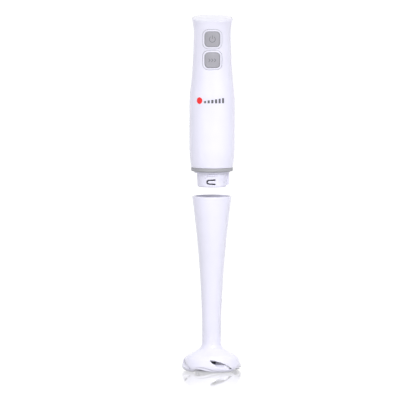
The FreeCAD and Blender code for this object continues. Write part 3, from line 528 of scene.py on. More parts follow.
def slot_loops():
    """A swirl slot's leaf at the outside, the top of its ramp, and its leaf at the inside,
    with how far each point of the ramp's top leans in."""
    top = spline([SLOT_HIGH, (-2.9, 13.0), (8.2, 6.9), SLOT_TIP], SLOT_STEPS)
    under = spline([SLOT_TIP, (6.8, 3.1), (-4.3, 4.6), SLOT_HEEL], SLOT_STEPS)
    shallow = [(p.x, p.y - 0.15) for p in top[::-1] if SHALLOW_FROM < p.x < SHALLOW_TO]
    crest = resampled(eased([SLOT_TIP, (11.1, 3.2), (9.7, 3.8), (8.4, 5.3), *shallow,
                             (3.3, 9.4), (2.5, 8.9), (-3.0, 8.7), SLOT_HEEL], 0.5), 0.1,
                      closed=False)
    crest = [crest[round(k)] for k in spaced(0, len(crest) - 1, SLOT_STEPS)]
    end = [Vector(SLOT_HEEL).lerp(Vector(SLOT_HIGH), t) for t in spaced(0, 1, 6)[1:-1]]
    shares = [stepped(RAMP_SHARES, p.x) for p in crest]
    lean = [0.0] * SLOT_STEPS + shares + [0.0] * len(end)
    raised = [p + Vector((0.0, 1.1 * max(0.0, r))) for p, r in zip(under, shares)]
    outer = softened([*top[:-1], *under, *end], 3)
    crest = softened([*top[:-1], *crest, *end], 1)
    inner = softened([*top[:-1], *raised, *end], 3)
    return outer, crest, inner, lean


def slot_wall(build, slot, crest, lean, outer, inner):
    """The slot's wall, whose floor is a ramp that climbs into the bell."""
    outside = slot.edge(outer, slot.loop, SLOT_EDGE, 1)
    within = slot.edge(inner, slot.loop_inside, SLOT_EDGE_INSIDE, -1)[::-1]
    axis = outwards(slot.azimuth)
    ridge_line = []
    for point, share, near, far in zip(crest, lean, outside[-1], within[0]):
        through = 0.7 * (near - far).dot(axis) + SLOT_EDGE
        depth = through + (RAMP_DEPTH - through) * share
        ridge_line.append(slot.on(outer, point) - axis * depth)
    ramp = ruled(outside[-1], ridge_line, spaced(0, 1, 5)[1:])
    back = [[p - axis * (0.3 * share) for p, share in zip(line, lean)]
            for line in ruled(ridge_line, within[0], (1 / 3, 2 / 3))]
    build.grid([*outside, *ramp, *back, *within], around=True)


def arch_line():
    """The lower edge of a quarter of the bell, in (across, height), from one foot's middle
    to the next, with the width of its lip and the lip's step at each point."""
    outer = leg_outside()
    steep = [Vector((-16.4, 0.0)).lerp(Vector((-13.4, 3.7)), t) for t in spaced(0, 1, 8)]
    slope = spline([(-13.4, 3.7), (-6.5, 3.7), (2.0, 1.0), (9.0, 0.0), (16.4, 0.0)], 44)
    arch = [Vector((ARCH_AZIMUTH + math.degrees(math.asin(p.x / outer.radius(p.y))), p.y))
            for p in joined(steep, slope)]
    line = joined([(FOOT_AZIMUTH - PITCH, 0.0)], arch, [(FOOT_AZIMUTH, 0.0)])
    flat = [Vector((p.x * MM_PER_DEGREE, p.y)) for p in line]
    flat = softened(resampled(flat, 0.55, closed=False), 6, closed=False)
    turns = [p.x / MM_PER_DEGREE for p in flat]
    widths = softened([stepped(LIP_WIDTHS, t) for t in turns], 10, closed=False)
    steps = softened([stepped(LIP_STEPS, t) for t in turns], 6, closed=False)
    return flat, widths, steps


def arch_rings(profile, sections):
    """Rings along the bell's lower edge, from a lip's table, and the first ring in
    (azimuth, height)."""
    flat, widths, steps = arch_line()
    rings = []
    for share, more, for_step, sunk, deeper in sections:
        ups = [share * w + more + for_step * min(1.0, s) for w, s in zip(widths, steps)]
        line = offset(flat, [-up for up in ups], closed=False)
        rings.append([(p.x / MM_PER_DEGREE, profile.radius(max(p.y, 0.0)) - sunk * s - deeper,
                       max(p.y, 0.0)) for p, s in zip(line, steps)])
    skin = [Vector((azimuth, height)) for azimuth, radius, height in rings[0]]
    return [[spot(*place) for place in ring] for ring in rings], skin


def bell_skin(build, profile, slot, loop, rounding, skin_edge):
    """A quarter of the bell's skin with its slot, between the grid above it and its edge."""
    seam_line = resampled([Vector((a * MM_PER_DEGREE, h)) for a, h in SEAM], 1.0,
                          closed=False)
    line = [Vector((a * MM_PER_DEGREE, BAND_TOP))
            for a in azimuths(SEAM[0][0] - PITCH, SEAM[0][0])]
    line += seam_line[1:]
    line += [Vector((p.x * MM_PER_DEGREE, p.y)) for p in skin_edge[::-1]]
    line += [Vector((p.x - PITCH * MM_PER_DEGREE, p.y)) for p in seam_line[:0:-1]]
    border = [Vector((p.x, profile.where(p.y))) for p in line]
    pierced(build, turned_on(profile, FLAT_RADIUS), border,
            [slot.flat(profile, offset(loop, rounding), FLAT_RADIUS)], BELL_SPACING)


def bell_quarter():
    """A quarter of the bell's lower part: skins, slot and rounded lower edge."""
    outer, inner = leg_outside(), bell_inside()
    build = Build()
    outside_loop, crest, inside_loop, lean = slot_loops()
    slot = Hole(SLOT_AZIMUTH, outside_loop, inside_loop)
    if slot.loop[0] != outside_loop[0]:
        crest, lean = crest[::-1], lean[::-1]
    slot_wall(build, slot, crest, lean, outer, inner)
    edge_out, skin_out = arch_rings(outer, LIP_OUTSIDE)
    edge_in, skin_in = arch_rings(inner, LIP_INSIDE)
    middle = ruled(edge_out[-1], edge_in[-1], (1 / 3, 2 / 3))
    build.grid([*edge_out, *middle, *edge_in[::-1]])
    bell_skin(build, outer, slot, slot.loop, SLOT_EDGE, skin_out)
    bell_skin(build, inner, slot, slot.loop_inside, SLOT_EDGE_INSIDE, skin_in)
    return build


def leg_socket(build):
    """The leg's inside: its socket with the keyway, and its bore down to the hub."""
    top = LEG_HEIGHT
    socket = eased([
        (LEG_RADIUS - 0.6, top), (19.1, top), (19.1, top - 1.6), (17.6, top - 1.6),
        (17.6, 178.1), (16.35, 178.1), (16.35, KEYWAY_BOTTOM + 0.1),
        (16.35, KEYWAY_BOTTOM), (16.35, 165.5), (15.9, 165.5), (15.9, 164.0),
    ], 0.25, 3)
    rows = []
    for radius, height in joined([(LEG_RADIUS - 0.7, top)], socket,
                                 [(7.6, 60.0), (7.6, 33.5), (4.0, 33.5), (4.0, 30.0),
                                  (5.5, 30.0)]):
        cut = max(radius, KEYWAY_RADIUS) if height > KEYWAY_BOTTOM + 0.05 else radius
        rows.append([spot(a, cut if KEYWAY_SPAN[0] <= a <= KEYWAY_SPAN[1] else radius, height)
                     for a in ring_columns()])
    build.grid(rows, around=True)


def bayonet_lugs(build):
    """The two lugs inside the socket that hold the connector's ridges."""
    lug = [(17.4, 182.05), (16.6, 182.05), (16.35, 182.3), (16.35, 183.15),
           (16.6, 183.4), (17.4, 183.4)]
    for side in (0, 180):
        columns = azimuths(side + LUG_SPAN[0], side + LUG_SPAN[1])
        turned_grid(build, lug + lug[:1], columns)
        for azimuth in (columns[0], columns[-1]):
            build.cap([spot(azimuth, r, h) for r, h in lug])


def leg_tube():
    """The leg's white shell."""
    build = Build()
    outer, inner = leg_outside(), bell_inside()
    columns = ring_columns()
    rim_low = LEG_HEIGHT - 0.8
    rim = bend((LEG_RADIUS - 0.7, LEG_HEIGHT), (LEG_RADIUS, LEG_HEIGHT),
               (outer.radius(rim_low), rim_low))
    tube = [outer.at(s) for s in spaced(outer.where(rim_low), outer.where(BAND_TOP), 130)]
    turned_grid(build, joined(rim, tube), columns, around=True)
    ceiling = [inner.at(s) for s in spaced(0, inner.where(BAND_TOP), 16)]
    hub = eased([(5.5, 30.0), (5.5, 15.5), (7.6, 15.5), (7.6, 19.2)], 0.3, 3)
    turned_grid(build, joined(hub, ceiling), columns, around=True)
    quarter = bell_quarter()
    for k in range(4):
        build.add(quarter, k * PITCH)
    leg_socket(build)
    bayonet_lugs(build)
    return build


# ---------------------------------------------------------------- handle

RIM_ROUNDING = 1.15
SEAT_DEPTH, SEAT_RADIUS = 1.25, 17.7
PATCH_LOW, PATCH_HIGH = 86.0, 170.0
PATCH_HALF = 50.0
HOUSING_BORE = 17.55
FLOOR_RADIUS, FLOOR_THICKNESS = 20.1, 3.0
WINDOW_EDGE, INNER_EDGE = 0.35, 0.1
SCREW_RADIUS, SCREW_EDGE = 3.0, 0.4
SLEEVE_RADIUS, SLEEVE_EDGE = 5.3, 0.3
HOUSING_FLAT, HOUSING_SPACING = 20.0, 1.4
KEY_FACE, KEY_CROWN, BEZEL_FACE = 0.42, 0.28, 0.35
SYMBOL_WIDTH, SYMBOL_LIFT = 0.6, 0.12


def handle_outside():
    """The handle's outside from its foot up past its crown."""
    base = spline([(22.0, HOUSING_BOTTOM), (BODY_RADIUS - 0.6, HOUSING_BOTTOM + 8),
                   (BODY_RADIUS, 36.0), (BODY_RADIUS, 50.0)], 24)
    body = [(BODY_RADIUS, height) for height in spaced(50.0, 87.0, 16)]
    waist = spline([(BODY_RADIUS, 87.0), (BODY_RADIUS, 99.0), (21.6, 111.0),
                    (20.35, 140.0), (19.9, 158.0)], 60)
    crown = spline([(19.9, 158.0), (19.85, 164.0), (20.35, 171.0), (21.6, 175.6),
                    (22.5, 182.6)], 40)
    return Profile(joined(base, body, waist, crown))


def handle_inside():
    """The handle's inside from its floor up to the cap's seat."""
    wall = HOUSING_WALL
    inside_grip, inside_body = 20.0 - wall, BODY_RADIUS - wall
    neck = spline([(inside_body, 83.0), (inside_body, 95.0), (21.0 - wall, 115.0),
                   (inside_grip, 140.0)], 40)
    return Profile(joined([(FLOOR_RADIUS, HOUSING_BOTTOM + 5.2), (inside_body, 35.4)],
                          neck, [(inside_grip, 186.0)]))


def crown_height(azimuth, radius):
    """The height of the handle's sloping top."""
    return CROWN_SIDE_HEIGHT - radius * math.cos(math.radians(azimuth)) * CROWN_TILT


def crown_line(outer, azimuth):
    """The handle's top at an azimuth: its flare, rounded rim, seat for the cap, and the
    wall inside down to the patch."""
    height = CROWN_SIDE_HEIGHT
    for _ in range(8):
        height = crown_height(azimuth, outer.radius(height))
    corner = Vector((outer.radius(height), height))
    flare = [Vector((outer.radius(h), h))
             for h in spaced(PATCH_HIGH, height - RIM_ROUNDING, 8)]
    within = corner.x - RIM_ROUNDING * 0.8
    over = bend(flare[-1], corner, (within, crown_height(azimuth, within)), 7)
    lip = CAP_RADIUS + 0.12
    top = crown_height(azimuth, lip)
    seat_end = (SEAT_RADIUS, crown_height(azimuth, SEAT_RADIUS) - SEAT_DEPTH)
    seat = eased([over[-1], (lip, top), (lip, top - SEAT_DEPTH), seat_end], 0.18, 3)
    wall = [(SEAT_RADIUS, h) for h in spaced(seat_end[1], PATCH_HIGH, 3)]
    return joined(flare, over, seat) + wall[1:]


def housing_foot(build, outer, inner, columns):
    """The housing below its patch: outside, rounded foot, floor and inside."""
    low, bottom = outer.where(HOUSING_BOTTOM + 0.5), HOUSING_BOTTOM
    below = [outer.at(s) for s in spaced(low, outer.where(PATCH_LOW), 36)]
    foot = bend((21.5, bottom), (22.0, bottom), below[0], 4)
    floor = [(HOUSING_BORE, bottom), (HOUSING_BORE, bottom + FLOOR_THICKNESS),
             (FLOOR_RADIUS, bottom + FLOOR_THICKNESS)]
    within = [inner.at(s) for s in
              spaced(inner.where(bottom + 5.2), inner.where(PATCH_LOW), 20)]
    turned_grid(build, joined(floor[:1], foot, below), columns)
    turned_grid(build, joined(floor, within), columns)


def key_windows(build, outer, inner):
    """The two windows for the keys' bezels, with the rounding of their edges."""
    found = []
    for height in KEY_HEIGHTS.values():
        loop = rounded_square(BEZEL_SIDE + 0.3, BEZEL_CORNER + 0.1)
        window = Hole(0.0, moved(loop, 0, height))
        window.wall(build, outer, inner, WINDOW_EDGE, INNER_EDGE)
        found.append((window, WINDOW_EDGE))
    return found, [(window, INNER_EDGE) for window, _ in found]


def back_holes(build, outer, inner):
    """The four screw pits and the cord inlet's hole, with the rounding of their edges."""
    found = []
    for across, height in SCREW_PLACES:
        pit = Hole(180.0, moved(circle(36, SCREW_RADIUS), across, height))
        pit.pit(build, outer, SCREW_EDGE, 10.4 if height < 120 else 6.0)
        found.append((pit, SCREW_EDGE))
    inlet = Hole(180.0, moved(circle(48, SLEEVE_RADIUS), 0, INLET_HEIGHT))
    inlet.wall(build, outer, inner, SLEEVE_EDGE, INNER_EDGE)
    return [*found, (inlet, SLEEVE_EDGE)], [(inlet, INNER_EDGE)]


def half_housing(front):
    """One half shell of the handle, with its windows or its holes."""
    outer, inner = handle_outside(), handle_inside()
    build = Build()
    centre = 0.0 if front else 180.0
    columns = azimuths(centre - 90, centre + 90)
    patch = azimuths(centre - PATCH_HALF, centre + PATCH_HALF)
    housing_foot(build, outer, inner, columns)
    crowns = [crown_line(outer, a) for a in columns]
    build.grid([[spot(a, *point) for a, point in zip(columns, row)] for row in zip(*crowns)])
    holes = (key_windows if front else back_holes)(build, outer, inner)
    for profile, pierced_by in zip((outer, inner), holes):
        rows = spaced(profile.where(PATCH_LOW), profile.where(PATCH_HIGH), 60)
        for side in (azimuths(columns[0], patch[0]), azimuths(patch[-1], columns[-1])):
            turned_grid(build, [profile.at(s) for s in rows], side)
        pierced_patch(build, profile, patch, rows, pierced_by, HOUSING_FLAT,
                      HOUSING_SPACING)
    return build


def top_cap():
    """The inset lid: a shallow dome that slopes with the handle's top."""
    line = joined([(0.0, 1.9)], spline([(0.0, 1.9), (9.2, 1.9), (16.7, 1.3), (20.05, 0.05)], 24),
                  bend((20.05, 0.05), (CAP_RADIUS, -0.1), (CAP_RADIUS, -0.5), 4),
                  [(CAP_RADIUS, -1.15), (15.0, -1.15), (15.0, 0.0), (0.0, 0.4)])
    build = Build()
    cos, sin = math.cos(math.atan(CROWN_TILT)), math.sin(math.atan(CROWN_TILT))
    rows = []
    for radius, height in line:
        ring = [spot(azimuth, radius, height) for azimuth in ring_columns()]
        rows.append([Vector((p.x, p.y * cos - p.z * sin,
                             p.y * sin + p.z * cos + CROWN_SIDE_HEIGHT)) for p in ring])
    build.grid(rows, around=True)
    return build


def on_face(face_radius, up, crown=0.0):
    """Puts (across, up, lift) on the front of a key or bezel, which follows the grip."""
    half = KEY_SIDE / 2

    def place(across, height, lift=0.0):
        rise = crown * (1 - (across / half) ** 2) * (1 - (height / half) ** 2)
        deep = math.sqrt(face_radius ** 2 - across ** 2) + rise + lift
        return Vector((across, -deep, up + height))
    return place


def key_face(name):
    """Puts (across, up, lift) on a key's crowned face."""
    return on_face(KEY_PROUD[name] + KEY_FACE, KEY_HEIGHTS[name], KEY_CROWN)


def bezel(name):
    """The white frame round a key."""
    build = Build()
    loop = rounded_square(BEZEL_SIDE, BEZEL_CORNER, 0.5)
    wide = (BEZEL_SIDE - KEY_SIDE) / 2 - 0.2
    section = joined([(0, -3.6)], bend((0, -0.75), (0, 0), (-0.75, 0), 5),
                     bend((0.5 - wide, 0), (-wide, 0), (-wide, -0.5), 4), [(-wide, -3.6)])
    place = on_face(KEY_PROUD[name] + BEZEL_FACE, KEY_HEIGHTS[name])
    rows = [[place(p.x, p.y, lift) for p in offset(loop, away)] for away, lift in section]
    build.grid(rows, around=True, loop=True)
    return build


def key(name):
    """A grey key: a softly crowned square with rounded edges."""
    build = Build()
    place = key_face(name)
    loop = rounded_square(KEY_SIDE, KEY_CORNER, 0.5)
    section = joined([(0, -3.4)], bend((0, -0.75), (0, 0), (-0.85, 0), 6))
    rows = [[place(p.x, p.y, lift) for p in offset(loop, away)] for away, lift in section]
    rim = offset(loop, -0.85)
    rows += [[place(p.x * share, p.y * share) for p in rim]
             for share in (0.93, 0.84, 0.72, 0.58, 0.43, 0.28, 0.14, 0.0)]
    build.grid(rows, around=True)
    build.fan(rows[0])
    return build


def bead(build, path, width, height, place):
    """A raised line with softened shoulders, laid along a flat path."""
    section = [(1.0, -0.3), (1.0, 0.35), (0.86, 0.85), (0.5, 1.0), (-0.5, 1.0),
               (-0.86, 0.85), (-1.0, 0.35), (-1.0, -0.3)]
    rows = [[place(p.x, p.y, lift * height)
             for p in offset(path, side * width / 2, closed=False)]
            for side, lift in section]
    build.grid(rows, loop=True)
    for end in (0, -1):
        build.cap([row[end] for row in rows])


def power_symbol():
    """A plain on mark: a broken ring with an upright bar."""
    build = Build()
    ring = [Vector((math.sin(t), math.cos(t))) * 3.1
            for t in map(math.radians, spaced(32, 328, 60))]
    bar = [Vector((0, up)) for up in spaced(4.0, 0.4, 6)]
    for path in (ring, bar):
        bead(build, path, SYMBOL_WIDTH, SYMBOL_LIFT, key_face("power"))
    return build


def boost_symbol():
    """A plain faster mark: three chevrons in a row."""
    build = Build()
    for across in (-3.0, 0.0, 3.0):
        arms = [Vector((across - 0.8, 1.6)), Vector((across + 0.8, 0)),
                Vector((across - 0.8, -1.6))]
        bead(build, eased(arms, 0.3), SYMBOL_WIDTH, SYMBOL_LIFT, key_face("turbo"))
    return build


# ---------------------------------------------------------------- connector and seal

TONGUE_LEFT, TONGUE_RIGHT, TONGUE_LOW, TONGUE_HIGH = -5.9, 3.8, 2.4, 8.8
TONGUE_GAP = 1.5
TONGUE_EDGE, RELIEF_EDGE = 0.18, 0.1
RELIEF_FLOOR = 14.6
CONNECTOR_PATCH = (-34.0, 34.0)
CONNECTOR_FLAT, CONNECTOR_SPACING = 15.7, 0.8
PATCH_FOOT, PATCH_TOP, PATCH_TOP_INSIDE = 2.0, 14.8, 11.0
RIDGE_RADIUS, RIDGE_HALF, RIDGE_LIFT = 16.0, 0.75, 0.95
RIB_AZIMUTH, RIB_ROOT, RIB_TOP = 95.0, 15.2, 18.0


def connector_outside():
    """The connector's outside from its rounded foot up to its flange."""
    return Profile(joined(bend((14.1, 0.0), (15.4, 0.0), (15.4, 2.0), 8),
                          [(16.05, 14.9)]))


def connector_inside():
    """The connector's inside, up to its deck."""
    return Profile([(13.7, 0.0), (13.7, 2.0), (14.0, 13.4)])


def tongue_loop():
    """The C-shaped slot that frees the latch's tongue: its arms open towards the right."""
    waist = (TONGUE_LOW + TONGUE_HIGH) / 2
    half = TONGUE_GAP / 2
    left = TONGUE_LEFT + half
    bow = bend((TONGUE_LEFT + 2.9, TONGUE_HIGH - 1.35), (left, waist + 2.0), (left, waist), 8)
    bow += bend((left, waist), (left, waist - 2.0), (TONGUE_LEFT + 2.9, TONGUE_LOW + 1.35), 8)
    path = resampled(joined([(TONGUE_RIGHT, TONGUE_HIGH - half)], bow,
                            [(TONGUE_RIGHT, TONGUE_LOW + half)]), 0.3, closed=False)
    path = softened(path, 2, closed=False)
    return softened(offset(path, half, closed=False)
                    + offset(path, -half, closed=False)[::-1], 1)


def connector():
    """The bayonet connector under the motor unit."""
    outer, inner = connector_outside(), connector_inside()
    build = Build()
    columns, patch = ring_columns(), azimuths(*CONNECTOR_PATCH)
    low = outer.where(PATCH_FOOT)
    foot = [outer.at(s) for s in spaced(0, low, 8)]
    turned_grid(build, joined([inner.at(0.0)], foot), columns, around=True)
    turned_grid(build, [inner.at(0.0), inner.at(inner.where(PATCH_FOOT))], columns,
                around=True)
    tongue = Hole(0.0, tongue_loop())
    tongue.wall(build, outer, inner, TONGUE_EDGE, INNER_EDGE)
    slit = [(-3.6, 13.8), (3.6, 13.8), (3.6, 14.5), (-3.6, 14.5)]
    relief = Hole(0.0, softened(resampled(slit, 0.3), 1))
    relief.pit(build, outer, RELIEF_EDGE, RELIEF_FLOOR)
    for profile, rows, holes in (
            (outer, spaced(low, outer.where(PATCH_TOP), 13),
             ((tongue, TONGUE_EDGE), (relief, RELIEF_EDGE))),
            (inner, spaced(inner.where(PATCH_FOOT), inner.where(PATCH_TOP_INSIDE), 9),
             ((tongue, INNER_EDGE),))):
        turned_grid(build, [profile.at(s) for s in rows],
                    azimuths(patch[-1], 360 + patch[0]))
        pierced_patch(build, profile, patch, rows, holes, CONNECTOR_FLAT,
                      CONNECTOR_SPACING)
    flange = eased([(outer.radius(PATCH_TOP), PATCH_TOP), (16.05, 14.9), (18.8, 14.9),
                    (18.8, 16.3), (17.5, 16.3), (17.5, 23.5), (19.9, 23.5),
                    (19.9, CONNECTOR_TOP), (12.5, CONNECTOR_TOP), (12.5, 17.5), (7.7, 17.5),
                    (7.7, 16.3), (3.1, 16.3), (3.1, 13.4), (14.0, 13.4),
                    (inner.radius(PATCH_TOP_INSIDE), PATCH_TOP_INSIDE)], 0.35, 4)
    turned_grid(build, flange, columns, around=True)
    for side in (0, 180):
        ridge(build, side)
    key_rib(build)
    tongue_pad(build)
    return build


def ridge(build, side):
    """One bayonet ridge: a raised bead that curls down at its left end and runs up into the
    flange at its right end."""
    path = joined(
        bend((side - 26.0, 9.6), (side - 25.0, 12.2), (side - 19.0, 12.2), 8),
        [(azimuth, 12.2) for azimuth in spaced(side - 19.0, side + 13.0, 16)],
        bend((side + 13.0, 12.2), (side + 21.0, 12.2), (side + 21.5, 15.0), 8),
    )
    flat = [Vector((math.radians(a) * RIDGE_RADIUS, h)) for a, h in path]
    section = [(1.0, -0.6), (0.9, 0.25), (0.62, 0.75), (0.25, 1.0), (-0.25, 1.0),
               (-0.62, 0.75), (-0.9, 0.25), (-1.0, -0.6)]
    wall = connector_outside()
    rows = [[spot(math.degrees(p.x / RIDGE_RADIUS),
                  wall.radius(min(p.y, 14.85)) + lift * RIDGE_LIFT, p.y)
             for p in offset(flat, across * RIDGE_HALF, closed=False)]
            for across, lift in section]
    build.grid(rows, loop=True)
    for end in (0, -1):
        build.cap([row[end] for row in rows])


def key_rib(build):
    """The upright key at the connector's right, which the leg's keyway takes."""
    plan = eased([(-1.25, RIB_ROOT), (-1.25, RIB_TOP), (1.25, RIB_TOP), (1.25, RIB_ROOT)],
                 0.4, 4)
    plan = [(RIB_AZIMUTH + math.degrees(p.x / 17.0), p.y) for p in plan]
    rows = [[spot(a, RIB_ROOT + (r - RIB_ROOT) * share, height) for a, r in plan]
            for share, height in joined([(0.0, 1.8)], bend((0.55, 1.8), (1.0, 1.8),
                                                           (1.0, 2.8), 5), [(1.0, 15.0)])]
    build.grid(rows)
    build.cap(rows[-1])
    build.cap(rows[0])


def tongue_pad(build):
    """The raised thumb pad inside the latch tongue."""
    wall = connector_outside()
    loop = resampled(bend((-3.6, 5.6), (-4.0, 3.9), (-1.6, 4.1), 6)
                     + [Vector((3.4, 4.3)), Vector((3.4, 6.9))]
                     + bend((-1.6, 7.1), (-4.0, 7.3), (-3.6, 5.6), 6), 0.4)
    hole = Hole(0.0, softened(loop, 2))
    middle = sum(hole.loop, Vector((0, 0))) / len(hole.loop)
    rim = offset(hole.loop, -0.6)
    rings = [(hole.loop, -0.4), (hole.loop, 0.0), (offset(hole.loop, -0.25), 0.3), (rim, 0.42)]
    rings += [([middle + (p - middle) * share for p in rim], 0.45)
              for share in (0.7, 0.4, 0.15)]
    rows = [[hole.on(wall, p) + outwards(0) * lift for p in ring] for ring, lift in rings]
    build.grid(rows, around=True)
    build.fan(rows[-1])
    build.fan(rows[0])


def seal_ring():
    """The soft grey ring between the motor unit and the leg's rim."""
    build = Build()
    low, high, radius = SEAL_BOTTOM, SEAL_TOP, SEAL_RADIUS
    line = joined([(17.8, low)], bend((radius - 1.4, low), (radius, low), (radius, low + 1.3), 7),
                  bend((radius, high - 0.45), (radius, high - 0.05), (radius - 0.4, high), 5),
                  [(17.8, high), (17.8, low)])
    turned_grid(build, line, ring_columns(), around=True)
    return build


# ---------------------------------------------------------------- cord inlet and marks

def cord_inlet():
    """The rubber cord inlet at the back: collar, ribbed sleeve and open bore."""
    build = Build()
    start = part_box("cord_inlet")[0].y / MM
    line = [(3.6, start + 0.4), (4.0, start), (6.6, start), (7.0, start + 0.4),
            (7.0, start + 1.6), (5.2, start + 1.6), (5.2, 20.3)]
    line += bend((6.1, 20.35), (6.5, 20.4), (6.5, 20.9), 4)
    line += bend((6.5, 21.4), (6.4, 21.9), (6.0, 22.0), 4)
    reach = 22.4
    while reach < INLET_REACH - 1.6:
        taper = 5.9 - (reach - 22.4) * 0.14
        line += [(taper - 0.75, reach), (taper - 0.1, reach + 0.25), (taper, reach + 0.6),
                 (taper, reach + 1.0), (taper - 0.1, reach + 1.3),
                 (taper - 0.75, reach + 1.5)]
        reach += 2.0
    line += [(4.5, INLET_REACH - 0.5), (4.3, INLET_REACH - 0.1), (4.0, INLET_REACH),
             (3.75, INLET_REACH - 0.05), (3.6, INLET_REACH - 0.3), (3.6, start + 0.4)]
    build.grid([[Vector((p.x, behind, INLET_HEIGHT + p.y)) for p in circle(64, radius)]
                for radius, behind in line], around=True)
    return build


MARK_HEIGHT = 92.0
BODY = handle_outside()
INK_LIFT = 0.04


def on_body(across, height, lift=0.0):
    """Puts (across, up, lift) on the handle at the height of its printed marks."""
    radius = BODY.radius(MARK_HEIGHT + height)
    return spot(math.degrees(across / radius), radius + lift, MARK_HEIGHT + height)


def red_mark():
    """A plain red dot printed on the handle."""
    build = Build()
    rows = [[on_body(p.x - 14.2, p.y, lift) for p in circle(48, radius)]
            for radius, lift in ((3.5, -0.05), (3.5, INK_LIFT / 2), (3.4, INK_LIFT),
                                 (2.6, INK_LIFT), (1.6, INK_LIFT), (0.7, INK_LIFT))]
    build.grid(rows, around=True)
    build.fan(rows[-1])
    build.fan(rows[0])
    return build


def grey_mark():
    """A plain row of rising grey bars printed on the handle."""
    build = Build()
    for number in range(6):
        across, foot, height = 3.9 * number - 7.6, -2.6, 2.4 + 0.6 * number
        path = [Vector((across, up)) for up in spaced(foot, foot + height, 6)]
        bead(build, path, 2.3, INK_LIFT, on_body)
    return build


# ---------------------------------------------------------------- materials

def tree(name):
    """A new material with an empty surface shader."""
    made = bpy.data.materials.new(name)
    made.use_nodes = True
    nodes, links = made.node_tree.nodes, made.node_tree.links
    nodes.clear()
    out = nodes.new("ShaderNodeOutputMaterial")
    shader = nodes.new("ShaderNodeBsdfPrincipled")
    links.new(shader.outputs[0], out.inputs[0])
    return made, nodes, links, shader


def pattern(nodes, links, scale, stretch=(1, 1, 1), detail=3.0):
    """A noise in the object's own metres, drawn out along some axes."""
    place = nodes.new("ShaderNodeTexCoord")
    mapping = nodes.new("ShaderNodeMapping")
    mapping.inputs["Scale"].default_value = stretch
    noise = nodes.new("ShaderNodeTexNoise")
    noise.inputs["Scale"].default_value = scale
    noise.inputs["Detail"].default_value = detail
    links.new(place.outputs["Object"], mapping.inputs[0])
    links.new(mapping.outputs[0], noise.inputs["Vector"])
    return noise.outputs["Fac"]


def between(nodes, links, factor, dark, light):
    """A colour that runs from dark to light with a noise."""
    ramp = nodes.new("ShaderNodeValToRGB")
    for element, place, colour in zip(ramp.color_ramp.elements, NOISE_SPAN, (dark, light)):
        element.position = place
        element.color = (*colour, 1)
    links.new(factor, ramp.inputs[0])
    return ramp.outputs[0]


def ranged(nodes, links, factor, span, numbers):
    """A number that runs between two numbers as a factor runs over its span."""
    ramp = nodes.new("ShaderNodeMapRange")
    for socket, value in zip(("From Min", "From Max", "To Min", "To Max"),
                             (*span, *numbers)):
        ramp.inputs[socket].default_value = value
    links.new(factor, ramp.inputs["Value"])
    return ramp.outputs[0]


NOISE_SPAN = (0.3, 0.7)
BUMP_HEIGHT = 0.0001


def finish(name, colour, spread, rough, grain, depth, patch=60.0, stretch=(1, 1, 1), **more):
    """A surface whose colour, gloss and fine relief all vary a little over it."""
    made, nodes, links, shader = tree(name)
    dark = [c * (1 - spread) for c in colour]
    light = [min(1.0, c * (1 + spread)) for c in colour]
    links.new(between(nodes, links, pattern(nodes, links, patch, stretch), dark, light),
              shader.inputs["Base Color"])
    links.new(ranged(nodes, links, pattern(nodes, links, patch * 3, stretch), NOISE_SPAN,
                     rough), shader.inputs["Roughness"])
    bump = nodes.new("ShaderNodeBump")
    bump.inputs["Strength"].default_value = depth
    bump.inputs["Distance"].default_value = BUMP_HEIGHT
    links.new(pattern(nodes, links, grain, stretch, 2.0), bump.inputs["Height"])
    links.new(bump.outputs[0], shader.inputs["Normal"])
    for socket, number in more.items():
        shader.inputs[socket.replace("_", " ")].default_value = number
    return made


GLOSSY_SHELL = {"Coat_Weight": 0.6, "Coat_Roughness": 0.05, "Subsurface_Weight": 0.3,
                "Subsurface_Scale": 0.004, "Subsurface_Radius": (1, 1, 1)}
STEEL = {"Metallic": 1.0}
